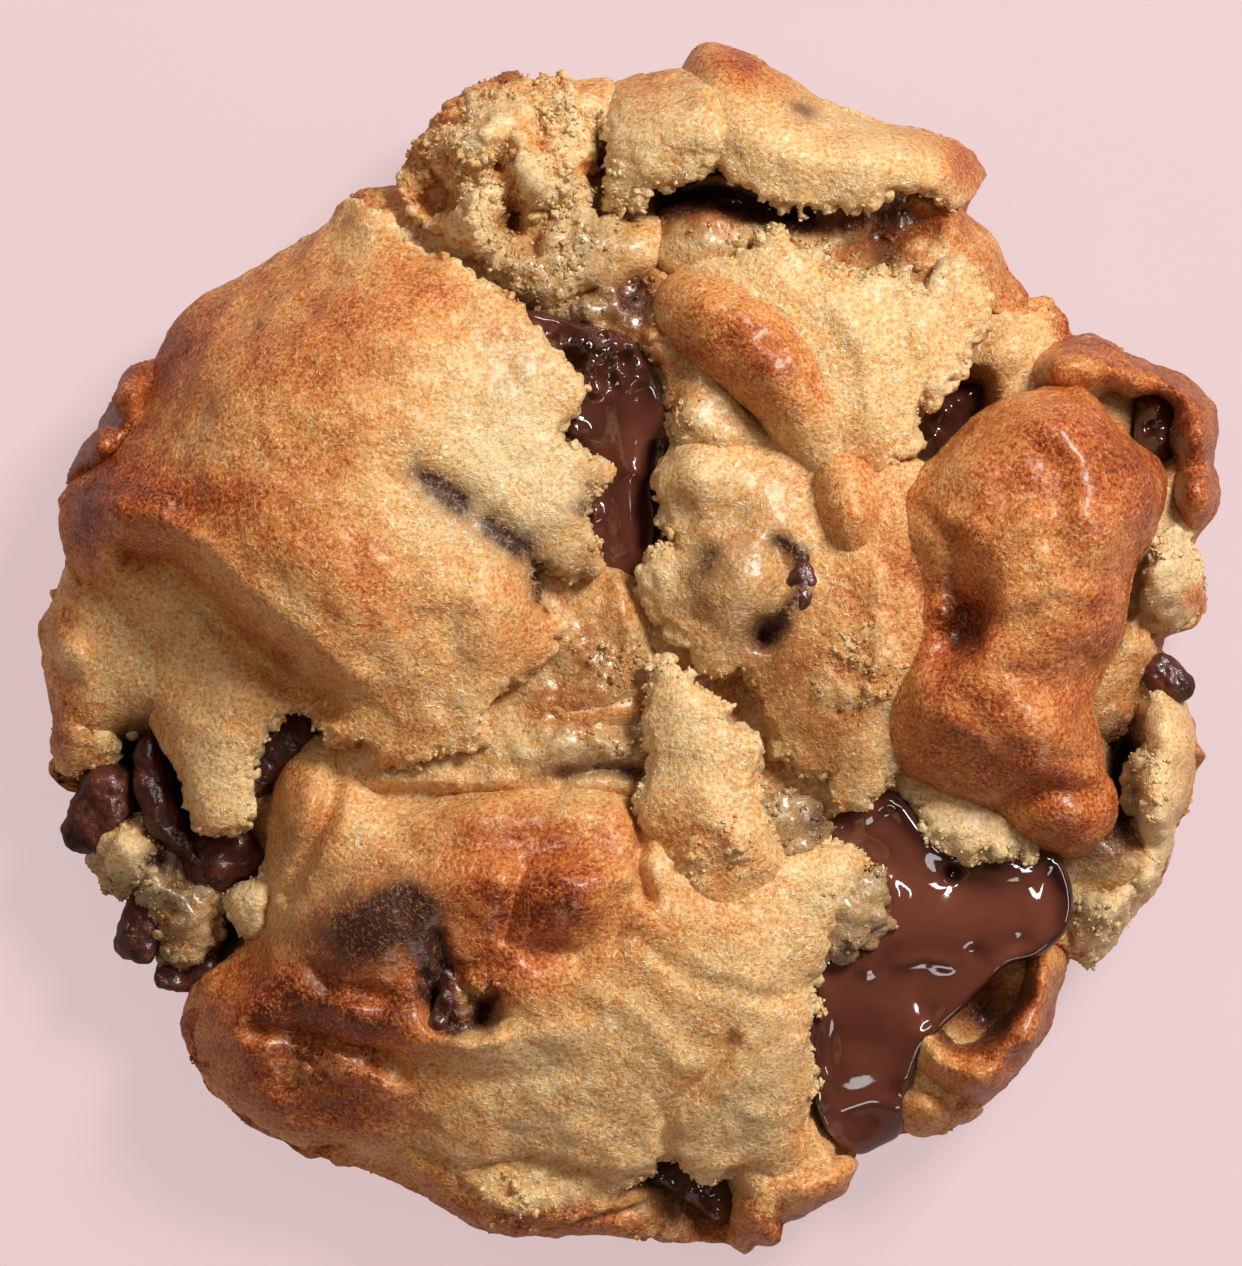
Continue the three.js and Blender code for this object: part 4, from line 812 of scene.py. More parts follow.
            (2.4, -0.7, 26.4), (4, -0.9, 26.8), (6.8, -2.6, 27.4), (8.4, -4.2, 27.8), (9.2, -6, 28), (9.5, -7.3, 28),
            (11, -7.3, 28), (12.7, -8.6, 28), (13, -10, 28), (12.8, -12, 28), (12.2, -14, 28), (13.4, -16.4, 27.4),
            (14.8, -18.6, 26.2, 0.6), (16, -21.2, 24.6, 0.3), (16.4, -25, 23.4, 0), (11.4, -29.6, 23.6, 0),
            (5, -28.6, 24.4, 0), (2.4, -23.4, 25.6, 0.4), (1.6, -17.2, 26.2, 0.7), (0.6, -15, 26.2, 0.8),
            (2, -12, 26.6, 0.8), (1.5, -9, 26.6, 0.8), (1.3, -5.5, 26.4, 0.8), (2.2, -3, 26.2, 0.9)],
        "heights": [(5, -4.6, 28.2), (6.2, -9, 28.6), (8.4, -12.6, 28.8), (8.6, -17.4, 28.8), (11.6, -19.4, 28),
            (7.6, -22, 28), (4, -14.6, 28), (8, -25, 27.3), (12, -24, 26.6)],
        "bumps": [(10.6, -18, 1.8, 0.7), (6.4, -19.6, 1.6, 0.6), (12.4, -20.4, 1.4, 0.5)],
        "folds": [(0.5, 1.4, [(8, -15), (10, -18.6), (13, -21)]), (0.4, 1.4, [(3, -2.6), (4, -6), (4.4, -9)])],
        "crumbs": [(9.6, -19.5, 4.5, 0.7), (4, -21, 2.4, 0.7)],
        "brown": (0.20, [(9, -19.4, 5, 4, -20, 0.30), (6, -6, 4, -0.02), (12, -23, 4, 0.06), (4, -18, 2, 5, 0, 0.30),
            (6, -25, 4, 0.10)]),
    },
    "rimKnobs": {
        "seed": 14, "round": 3.2, "lip": 8, "torn": 0.05, "swell": 0.7,
        "outline": [
            (39.6, 26.6, 20), (40.8, 29.4, 18), (42.6, 31, 14.6), (44.4, 31.4, 13.6), (47, 30.9, 13), (49.5, 29.4, 13),
            (54, 27.2, 12.6), (56.6, 25.4, 12.6), (58, 23, 12.6), (58.3, 21, 12.6), (57.8, 18.5, 12.6), (58.5, 15, 12.6),
            (58, 13, 12.6), (56.4, 11, 12.8), (54.4, 11.6, 15.4), (53.2, 14.6, 17), (54, 18, 17), (53.2, 20.6, 17.2),
            (53.6, 23.4, 17.4), (51.8, 25, 18), (49.6, 24.8, 19), (47.4, 25.6, 20), (44.8, 24.6, 21), (41.6, 24.4, 21)],
        "heights": [(43.6, 28, 22.6), (48.6, 27.6, 21.2), (54, 25.2, 19.8), (56, 21.6, 19),
            (56, 17, 18.8), (56, 13.6, 17.6)],
        "bumps": [(42.2, 27.8, 1.8, 1.4), (52, 26.4, 1.6, 1.1), (56.4, 20.4, 1.5, 1), (56.2, 14.6, 1.5, 1.1),
            (49.6, 27.6, 1.1, -1.1), (55.8, 17.6, 1, -1), (46, 28.6, 1.4, 0.8), (54.2, 23.6, 1, -0.8), (44, 26, 1, -0.8)],
        "brown": (0.72, [(42, 27.6, 3, -0.06), (56, 16, 3, 0.06), (53.4, 21, 2.4, 5, 0, 0.2), (57, 12, 2, -0.2)]),
        "wet": (0.12,), "stainAndShade": (0.0, [(53.2, 21.6, 1.4, 3.6, 0, 0.6)]),
    },
    "crumbRight": {
        "seed": 15, "round": 1.6, "lip": 4, "crumbReach": 4,
        "outline": [(50.2, 4.6, 20), (50.2, 8, 21.4), (51.6, 11.4, 21), (53.6, 13, 18.6), (55, 10.6, 17),
            (55.8, 7.6, 15.4, 0.6), (56.8, 5.4, 13, 0.3), (56, 3.2, 13, 0.3), (53.2, 2.6, 16)],
        "heights": [(51.6, 8, 22.8), (53.2, 7.6, 21.4), (54.6, 4.8, 17.6), (53.2, 10.6, 20.4), (52, 5.4, 21)],
        "brown": (0.06, [(55.8, 5, 1.8, 0.60)]),
    },
    "pieceShaded": {
        "seed": 16, "round": 2.2, "lip": 4, "torn": 0.5,
        "outline": [(49.6, 3.6, 18.4), (51.8, 1.2, 16), (52, -1.4, 14.6), (50.4, -4.4, 15), (49.4, -7, 15.6),
            (47.6, -8.6, 16), (45.4, -7.6, 17), (44.6, -4, 18.4), (47.2, -0.4, 19)],
        "heights": [(48.2, -4, 17.4), (50, 0, 18)], "crumbs": [(50, 1, 3, 0.6), (48, -7, 2, 0.7)],
        # partly painted shade: its browning, wetness and stain darken this piece and its crevice end, which lie in
        # shade
        "brown": (0.40, [(48, -7, 3, 0.2)]), "wet": (0.2, [(48, -7, 4, 0.4)]), "stainAndShade": (0.0, [(48.4, -8, 2, 0.7)]),
    },
    "chunkRimRight": {
        "seed": 17, "round": 3.4, "lip": 7,
        "outline": [
            (51.4, -3.2, 16), (53, -2.6, 15.6), (54.6, -3.4, 13.6, 0.3), (55.2, -5.5, 13, 0.1), (56.2, -8, 12.6, 0),
            (56.4, -10, 12.6, 0), (55.6, -15, 12.6, 0), (54, -18, 12.6, 0), (53, -22, 12.6, 0), (51, -25, 12.6, 0),
            (49, -27.6, 12.6, 0.2), (47, -30.4, 13, 0.6), (45.4, -31.2, 13.6, 0.8), (43.5, -29.6, 14.6), (42.6, -27, 15.8),
            (43, -24.6, 16.4), (46, -23.5, 17), (49.4, -22.4, 17.4), (50.2, -20, 17.6), (49, -15, 18.4), (49.7, -12, 18.6),
            (50.6, -9, 18.4), (50.6, -5.4, 17.4)],
        "heights": [(52.8, -6, 19), (53, -12, 20), (52, -17, 20), (50.6, -22.4, 19), (47, -26.6, 18)],
        "bumps": [(53.4, -9, 1.4, 0.8), (52.4, -15, 1.4, 0.8), (51.4, -19.6, 1.3, -0.7), (48.4, -25.4, 1.3, 0.8),
            (54.2, -12, 1.2, -0.6), (51, -13.4, 1.2, 0.7)],
        "crumbs": [(51, -12, 2.6, 9, -6, 0.9), (46, -27.6, 4, 0.9), (50, -21, 4, 0.7)],
        "brown": (0.14, [(55.4, -12, 2, 7, 0, 0.18), (53, -24, 4, 2, 50, 0.18), (50, -14, 1.4, 5, 0, 0.24)]),
        "wet": (0.0, [(46, -25, 3, 0.5), (49.4, -20, 2, 0.5)]),
        # painted shade: the stain along x 49.6 darkens the crevice side of the chunk
        "stainAndShade": (0.0, [(49.6, -13, 0.9, 4, 0, 0.6), (44, -25, 2, 0.3)]),
    },
    "ridgeLowerRight": {
        "step": 0.24, "seed": 18, "round": 3, "lip": 7.5, "torn": 0.12, "swell": 0.6,
        "outline": [
            (27.2, -38.4, 16, 0.9), (27.8, -41.2, 15, 0.5), (29.6, -43, 13.8), (31.5, -44.4, 13), (34.5, -45.2, 12.4),
            (37, -43.6, 12.4), (39.5, -40.6, 12.4), (41, -38, 12.4), (42.1, -35, 12.6), (43.1, -31.4, 13), (43.2, -29.6, 15),
            (41.6, -28.6, 17), (39, -29.6, 18), (38.8, -32.4, 18), (37.6, -35.4, 17.6), (35.2, -37.6, 17.4),
            (32.8, -38.6, 17.4), (31, -37, 18, 0.8), (29, -37, 18, 0.9)],
        "heights": [(29.4, -39.8, 19), (32.4, -41.4, 20), (36, -41, 20), (39, -38, 20), (40.6, -34.4, 20), (41, -31, 19.4)],
        "bumps": [(30, -40.4, 1.3, 1.2), (34.2, -42, 1.4, 0.9), (40.2, -36.6, 1.4, 1), (37.6, -40.4, 1, -1),
            (40, -32.6, 1.2, 0.8), (32, -42.4, 0.9, -0.9)],
        "folds": [(-1, 0.8, [(30.6, -38.4), (32.4, -40), (35, -40.2)]),
            (0.8, 0.9, [(33, -39.6), (36.6, -38.4), (38.6, -35)])],
        "crumbs": [(29.4, -38.4, 2.4, 0.8)],
        # partly painted shade over wet dough: the soft brown line and the stain along the inner edge darken the hollow
        # inside the ridge
        "brown": (0.68, [(29, -39, 2.2, -0.24), (42.4, -30.6, 2, -0.1)],
            [(0.35, 1.2, [(30.6, -38), (33.6, -38.6), (36.6, -37), (39, -33)])]),
        "wet": (0.15,),
        "stainAndShade": (0.0, [(1.0, 1.1, [(31.4, -37.6), (34, -38), (36.4, -36.6), (38.2, -33.6), (38.6, -30.6)])]),
    },
    "lobeLowerRight": {
        "seed": 19, "round": 3, "lip": 6, "torn": 0.1,
        "outline": [(26.4, -41.6, 15), (29, -42.4, 15), (33, -44.6, 13.4), (35, -45.4, 12), (33, -46.9, 11.6),
            (30, -48.1, 11.6), (27.6, -48, 11.8), (26, -45.6, 13.4)],
        "heights": [(29.6, -45.2, 16)],
        "crumbs": [(29, -45, 3, 0.3)],
        "brown": (0.56, [(28, -44, 3, -0.05)]),
    },
    "lobeBottom": {
        "seed": 20, "round": 3.6, "lip": 7, "torn": 0.1,
        "outline": [
            (10.2, -56.4, 13), (10.9, -53.8, 14.6, 0.7), (12.8, -52, 15.6, 0.8), (17, -51, 16, 0.6), (20, -50.2, 15.6, 0.3),
            (22.6, -50.4, 13.4), (22.4, -52, 12.6), (21, -54, 12.2), (18, -55.6, 12), (15.2, -57, 12), (15, -58.5, 11.8),
            (14, -59.2, 11.8), (12.5, -59, 11.8), (11.5, -59.9, 11.8), (9.6, -58.7, 11.8)],
        "heights": [(17, -53, 17), (12.6, -56.4, 15.4), (21, -51.6, 15.4)],
        "folds": [(-0.6, 0.8, [(14.8, -54), (13.8, -57)])],
        "brown": (0.50, [(17, -54, 5, 0.14), (12, -58, 3, 0.2), (15, -52, 4, -0.12)]),
    },
    "rimLeft": {
        "seed": 21, "round": 3, "lip": 6, "torn": 0.25, "swell": 0.6,
        "outline": [
            (-55.4, 9, 13.4), (-52.6, 5, 13.6), (-51, 0, 13.4), (-49.6, -4, 13), (-47.4, -7, 12.4, 1), (-48.6, -8, 12.4, 1),
            (-50.8, -7.6, 12.4, 1), (-50.6, -11, 12, 1), (-52.5, -12, 12, 1), (-56, -12.3, 11.6, 0.9),
            (-57.5, -9.6, 11.8, 0), (-57.2, -6, 12, 0), (-58, -1, 12, 0), (-58.3, 2.5, 12, 0), (-57.2, 5.6, 12.4, 0)],
        "heights": [(-54, 0, 15.2), (-54.6, 4.6, 14.6), (-53.4, -6, 14.2)],
        "bumps": [(-54.2, -0.4, 2.2, 1.6), (-52.6, -3.8, 1.6, 1.1), (-55.2, -8.4, 1.6, 0.9), (-52.8, -9.4, 1.4, 0.8),
            (-56, 3.6, 1.2, 0.6), (-56.4, -4, 1.2, -0.6)],
        "folds": [(-1.3, 0.8, [(-56.6, -2.6), (-53.6, -4.6), (-51, -2)]), (-1.1, 0.8, [(-52.4, 2.8), (-55.6, 3.4)]),
            (-0.9, 0.7, [(-56.6, -6.4), (-53, -6.6)])],
        "crumbs": [(-53, -9.6, 3.4, 0.7), (-50, -7, 2.4, 0.7)],
        "brown": (0.38, [(-57, -8, 3, 0.30), (-57, 2, 2.4, 0.2), (-53, -9.5, 3, 0.06),
            (-54, -0.6, 2.4, -0.14), (-51.4, -1, 2, 4, 0, 0.2)]),
        "wet": (0.0, [(-55, -7, 3, 0.5), (-52, -3, 2, 0.3)]),
    },
    "chunkCrumbLeft": {
        "seed": 22, "round": 1.8, "lip": 6, "crumbReach": 5, "crumbling": 1.5,
        "outline": [
            (-52.4, -18.4, 11.8), (-50, -16.6, 12.6), (-48, -17.4, 12.8), (-46, -19.6, 12.4), (-43.4, -21.4, 11.8),
            (-41, -23, 11.6), (-39.8, -26, 11.4), (-41, -29, 11), (-41.6, -31.4, 10.8), (-44, -31.8, 10.6),
            (-46.6, -30.8, 10.6), (-46.8, -27.4, 11), (-48, -24.6, 11.2), (-51, -23.4, 10.8), (-52.8, -21, 10.6)],
        "heights": [(-49.6, -20, 14.6), (-45.6, -24, 13.6), (-43.4, -28, 13)],
        "bumps": [(-50, -19.8, 2, 0.9), (-47.4, -23.6, 1.4, 0.9), (-44.6, -22.6, 1.2, -1.3), (-43.2, -26, 1.2, 0.8),
            (-46.4, -20.6, 1, -1.4)],
        "brown": (0.50, [(-49.8, -20, 2.6, -0.42), (-47.6, -24, 1.8, -0.28), (-43.4, -29, 2.6, -0.1)]),
        "wet": (0.35, [(-45, -25, 4, 0.4), (-49.8, -20, 2.6, -0.5)]),
        "stainAndShade": (0.26, [(-44, -23, 3, 0.4), (-46, -30, 2, 0.3), (-47.2, -20.6, 1.2, 0.7), (-49.8, -20, 2.6, -0.3)]),
    },
    "piecePale": {
        "seed": 23, "round": 1.6, "lip": 4, "torn": 0.6, "crumbReach": 2,
        "outline": [(-39.6, -24, 15), (-37.4, -22.8, 16), (-35, -22.6, 17), (-35, -26, 17), (-36, -28.2, 16),
            (-37.6, -28.4, 15), (-39.2, -26.8, 14.6)],
        "heights": [(-37.2, -25.4, 17)],
        "brown": (0.14,),
    },
    "lumpRimLeft": {
        "seed": 24, "round": 2.2, "lip": 7, "torn": 0, "swell": 1.0,
        "outline": [(-55.6, 16.2, 12.4), (-51.4, 17.4, 15.4), (-48, 21.4, 16), (-46, 27, 15.4), (-46.6, 29.2, 12),
            (-50.2, 27.2, 11.6), (-51.8, 23.6, 11.4), (-54, 20.6, 11.4)],
        "heights": [(-52, 20, 16), (-49, 25, 16.4)],
        "bumps": [(-49.4, 25.8, 1.6, 1.2), (-52.4, 20.4, 1.6, 1.2), (-50.8, 22.8, 1, -1.2)],
        "brown": (0.84, [(-50.8, 22.8, 1.4, 0.2)]), "wet": (0.2,),
    },
    "bitWetUpper": {
        "seed": 25, "round": 1.2, "lip": 3, "torn": 0.8, "crumbReach": 3, "crumbling": 1.3,
        "outline": [(12.6, -14.4, 24.4), (15.6, -13.4, 23.8), (18.2, -15, 23.2), (20, -16.6, 22.4), (19, -18.6, 23),
            (16.4, -20.4, 24), (13.6, -19, 25), (12.4, -16.6, 25)],
        "heights": [(15.8, -16.8, 25.2)],
        "brown": (0.2, [(19, -17, 2, 0.2)]), "wet": (1.1,), "stainAndShade": (0.1, [(18.4, -16.4, 2.4, 0.5)]),
    },
    "bitWetLower": {
        "seed": 26, "round": 1.2, "lip": 2.6, "torn": 0.9, "crumbReach": 3, "crumbling": 1.4,
        "outline": [(18.6, -24, 24), (21.4, -22.6, 23.6), (24, -21.4, 22.6), (25.3, -23.6, 21.8), (25, -26.4, 21.6),
            (24, -28.6, 21.2), (24.6, -30.6, 20.4), (22.6, -29, 21.2), (20.4, -30.4, 21.4), (18.6, -28, 23)],
        "heights": [(21.8, -26, 23.6)],
        "brown": (0.2,), "wet": (1.1,), "stainAndShade": (0.1, [(21, -30, 2, 0.5), (24.6, -28, 1.2, 0.4)]),
    },
    "patchTopLeft": {
        "seed": 27, "round": 2.4, "lip": 4, "torn": 0.1, "crumbling": 1.25,
        "outline": [
            (-22.7, 46.6, 16), (-20.6, 50.6, 14), (-17.2, 54.2, 13), (-14.6, 55.7, 13), (-12, 57.2, 13.4), (-10, 56.3, 14),
            (-5, 56, 15), (-1.6, 55.8, 15.6), (-1, 52, 18.6), (-2.4, 49, 19.6), (-2.8, 45, 19.6), (-1.6, 42.4, 20.4),
            (3, 42, 21.4), (3.4, 38, 22), (0, 35.8, 22.4), (-4, 34.6, 22.6), (-7.4, 33.4, 22.8), (-10.6, 34, 23),
            (-14, 37.6, 22.4), (-18, 40, 21), (-22, 43.4, 19)],
        "heights": [
            (-15.5, 42, 24), (-13.5, 51.6, 20.4), (-17.6, 49, 19.4), (-9.6, 46.6, 21.6), (-7, 50.6, 19.4),
            (-8, 54, 17.4), (-18.2, 44.2, 18.4), (-11.4, 41.8, 20.4), (-6, 44, 21.8), (-5, 39, 22.6),
            (-10, 37.6, 23.8), (0, 39.4, 22.8)],
        "bumps": [
            (-15.6, 41.8, 2.6, 1.4), (-13.4, 51.8, 2.2, 1.8), (-17.8, 49.4, 2.2, 1.6), (-18.6, 44.4, 2.2, -4),
            (-11.4, 42.2, 1.9, -4), (-9.6, 45.6, 2, 1.6), (-6, 47.4, 2, 1.2), (-8.6, 51, 1.6, -2.2), (-12.8, 47.6, 1.5, -2.4),
            (-5.6, 53.6, 1.6, 1.2), (-3.4, 52, 1, -2), (-14.8, 46.2, 1.5, -1.8), (-16.2, 53.8, 1.3, -1.4),
            (-7.6, 43, 1.4, -1.6), (-4.6, 41, 1.6, 1), (-9.4, 39.6, 1.3, -1.4)],
        "folds": [(-4.5, 0.9, [(-2.5, 50), (-3.2, 46.6), (-3.2, 43)]), (1.2, 1, [(-10.6, 54), (-10.4, 49), (-8.6, 44)]),
            (-1.2, 0.8, [(-5.4, 50), (-5, 46), (-6, 42)])],
        "crumbs": [(-14, 48, 8, 1.2), (-8, 50, 7, 1), (-14, 42, 5, 1.2), (-3, 46, 4, 1), (-19, 46, 4, 1), (-8, 44, 6, 0.8),
            (-4, 38, 6, 0.45), (-11, 37, 4, 0.7)],
        "brown": (0.36,
            [(-18.4, 44.2, 2.4, 0.40), (-11.4, 42, 2, 0.42), (-3.2, 47, 1.6, 0.6), (-12.8, 47.6, 1.6, 0.34),
             (-8.6, 51, 1.8, 0.25), (-18, 53, 5, 2, 35, 0.36), (-11.5, 56.6, 3, 1.4, 0, 0.4), (-4, 55.6, 4, 1.5, 0, 0.15),
             (-21.6, 48.4, 3, 1.6, 60, 0.3), (-8, 40, 5, 0.05), (-15.6, 41.8, 2.6, -0.14), (-17.6, 49.6, 2, -0.12),
             (-13.4, 51.8, 2, -0.1), (-9.4, 46, 2.2, -0.08)]),
        "wet": (0.06, [(-5, 38, 5, 0.6), (-10, 36, 4, 0.6), (-2, 41, 3, 0.5), (-11.4, 42, 2, 0.5), (-18.4, 44.2, 2.4, 0.5)]),
        "stainAndShade": (0.0, [(-9.6, 34.6, 1.8, 0.5), (-3, 34.8, 2, 0.25), (-11.6, 57, 1.2, 0.5)]),
    },
    "patchHollow": {
        "seed": 28, "round": 2.2, "lip": 4, "torn": 0.1,
        "outline": [
            (2.6, 41, 20.6), (4.6, 44.8, 19.6), (9, 46.4, 20.2), (14, 45.4, 20.2), (20, 45.6, 20.2), (26, 46, 19),
            (31.6, 45.4, 16), (33.4, 43, 14), (35.2, 41.4, 13), (36.6, 39.8, 13), (37.7, 37.4, 13.4), (39.6, 35, 13.4),
            (37, 32.6, 17), (34, 34.6, 19.6), (31, 37, 20.8), (28.6, 35, 21.8), (24, 35.6, 22.4), (19, 36.4, 22.4),
            (14, 40, 23.2), (9, 37.6, 23.6), (4.4, 36.6, 23.6), (2.4, 38.5, 22.4)],
        "heights": [
            (7, 41.4, 22.4), (12, 42, 22.2), (18, 41.4, 20.8), (24, 40.6, 18.4), (26, 43, 17.6), (21.6, 38.4, 20.6),
            (29.4, 40, 19), (33, 40, 18.4), (36, 37.6, 16)],
        "bumps": [(24, 39.6, 2.6, -1.8), (19.4, 42.6, 1.5, -1.2), (28.8, 42, 1.5, -1.4), (31.6, 41, 1.6, 1),
            (35, 38, 1.4, 0.8), (21.6, 41.6, 1.4, 0.8), (27, 38.6, 1.5, 0.8), (15, 42.4, 1.4, 0.6)],
        "folds": [(-7.5, 1.0, [(4, 44.3), (8, 44.9), (12.5, 43.7), (16.6, 42.9)]),
            (-2.5, 0.8, [(16, 43), (18.5, 42.2), (22, 43.4)]), (0.4, 1.2, [(4, 41.2), (9, 42), (14, 41.2)])],
        "crumbs": [(24, 41, 6, 0.9), (34, 40, 3, 0.3), (30, 38, 4, 0.6), (18, 42, 4, 0.6), (8, 40.6, 6, 2.6, 0, 0.75)],
        "brown": (0.42, [(26, 43, 3, 0.4), (31.6, 41.4, 3, 0.12), (34, 43, 3, 0.2), (38, 36, 3, 0.2), (21, 43, 3, 0.2),
            (24, 40, 4, 0.35), (8, 43, 5, 2, 0, 0.30), (34.6, 38.6, 1, 0.3), (28.6, 42, 3, 0.2)]),
        "wet": (0.20, [(24, 40, 6, 0.5), (8, 42, 6, 3, 0, 0.5), (35, 39, 4, -0.20)]),
        # partly painted shade: the stains along the crack and in the hollows darken them, over chocolate in the crack
        "stainAndShade": (0.05, [(26, 42.9, 1.3, 0.8), (1.8, 42.6, 2, 0.6), (22, 41, 2.6, 0.35), (25, 38.6, 2, 0.4)],
            [(1.7, 1.4, [(3.6, 43.6), (8, 44.4), (12.5, 43), (17, 42.2)])]),
    },
    "patchMiddle": {
        "seed": 29, "round": 2, "lip": 3.6, "torn": 0.1,
        "outline": [
            (-11, 9, 23.4), (-4, 8.6, 22.6), (-1, 7.4, 22.2), (1.2, 6, 22.2), (2.4, 2.6, 22.6), (5.4, 0, 22.8),
            (8.6, -3, 21.6), (11, -5.6, 19.6), (13.6, -9, 18), (16.4, -13, 18), (18.4, -17, 18.4), (14, -18.6, 20),
            (11, -12.6, 21), (5, -14, 22), (-2, -14.8, 23), (-8, -14.8, 23), (-14, -14.8, 22.6), (-20, -14, 22),
            (-27, -14, 21), (-28, -8.4, 21), (-18, -6, 22), (-12, -1.6, 23)],
        "heights": [
            (-6, 4, 23.4), (-3, -1, 23.8), (-9, -5, 23.6), (-15, -10.4, 23.2), (0, -8, 22.8), (-5, -10, 24),
            (5, -5, 21), (11, -8.4, 17.4), (15, -14.4, 18.4), (-22, -11.6, 22.2)],
        "bumps": [(-1, 3.4, 1.6, 0.8), (-6.6, 1, 1.8, 0.6), (11.4, -9, 1.8, -1.5), (17, -15, 1.2, -1.4),
            (-19, -11.6, 1.6, 0.7), (-13, -11.6, 1.6, 0.6)],
        "folds": [
            (0.4, 1.3, [(-10, -4), (-6, -5.8), (-3, -4.4)]), (-0.5, 1.1, [(-7, -6.2), (-2, -7.6), (1, -6)]),
            (0.4, 1.2, [(-8, 1.6), (-4, -0.6)]), (0.9, 1.4, [(-10, -10), (-5, -8.8), (1.4, -9.4)]),
            (-1.5, 0.9, [(-6.6, -12.4), (-3, -11.4), (1.2, -12)]),
            (-3, 0.9, [(3, 1.2), (7, -2.2), (10.4, -5), (12, -8)]), (0.7, 0.8, [(-1, 6.4), (0, 2), (-0.6, -3)]),
            (0.7, 0.8, [(-24, -12.6), (-18, -13), (-12, -12.8)])],
        "crumbs": [(-17, -11, 6, 2.6, 0, 0.6), (5, -4, 4, 0.5), (15, -14, 4, 0.7),
            (-4, -1, 7, 6, 0, 0.75), (-4, -9, 7, 3, 0, 0.75)],
        "brown": (0.34, [(-5, -5, 5, 3.4, 0, 0.38), (-3, 3, 4, 0.18), (9, -5, 4, 0.44),
            (15, -14, 4, 0.3), (-6, -9.6, 6, 2, 0, -0.16)]),
        "wet": (0.30, [(-4, -3, 7, 0.8), (-17, -11, 5, -0.1)]),
        # painted shade: the stains in the hollows at (11.5, -9) and (17, -14.6) and along the groove at y -12 darken
        # them
        "stainAndShade": (0.02, [(11.5, -9, 2, 0.5), (2.6, -5.8, 0.7, 0.7), (17, -14.6, 1.6, 0.8), (-14.6, -8, 1.2, 0.5)],
            [(0.7, 1.0, [(-8, -11.8), (-3, -11.2), (1.4, -12)]), (0.15, 1.6, [(-6, -9.4), (0, -9)])]),
    },
    "patchSausage": {
        "seed": 30, "round": 2, "lip": 3.6, "torn": 0.15,
        "outline": [
            (-9, 33, 22.6), (-4, 35.4, 22.6), (1, 37, 23.2), (4, 36.6, 23.6), (5, 31, 23.8), (9, 27, 24.4), (13, 22, 24.6),
            (17, 17.6, 24.6), (14, 15.4, 24.4), (9, 17, 24.4), (5, 18, 23.4), (3.6, 20.6, 22.8, 0.8), (3.4, 25, 23.2, 0.8),
            (0.6, 29.6, 23.4, 0.7), (-4.6, 31.6, 23.6, 0.7)],
        "heights": [(0, 33.6, 24), (6, 25, 25), (10, 21, 25.4), (5.6, 21.4, 24.6), (3, 31.6, 24.4)],
        "bumps": [(5.4, 23, 1.6, 0.9), (8.4, 20.4, 1.8, 0.8), (2, 30, 1.5, 0.7), (11, 18.6, 1.6, -0.9), (4.4, 27, 1.3, -0.8),
            (-4.4, 33.4, 1.4, 0.8), (0.4, 34.8, 2.4, -2.2), (-1.6, 35.6, 1.2, 0.9), (-2.4, 32.2, 1, -0.7)],
        "crumbs": [(4, 22, 3, 0.7), (2, 29, 4, 0.7), (-3, 34, 7, 1.0), (9, 20, 5, 0.4), (1, 35, 4, 0.6)],
        # painted shade over wet dough: browning, wetness and stain at (0.5, 34) darken the hollow there
        "brown": (0.34, [(0.5, 34, 4, 0.50), (9, 20, 4, -0.04), (14, 17, 4, 0.06), (3, 28, 4, 0.18)]),
        "wet": (0.25, [(-4, 33, 4, 0.6), (0.5, 34.4, 3.4, 0.9), (4, 27, 5, 0.25)]),
        "stainAndShade": (0.02, [(-5, 32, 2.4, 0.5), (0.2, 34.2, 2.8, 0.85)]),
    },
}


# melted chocolate, in outlines wider than the hollows, so that the pools run in under the torn edges

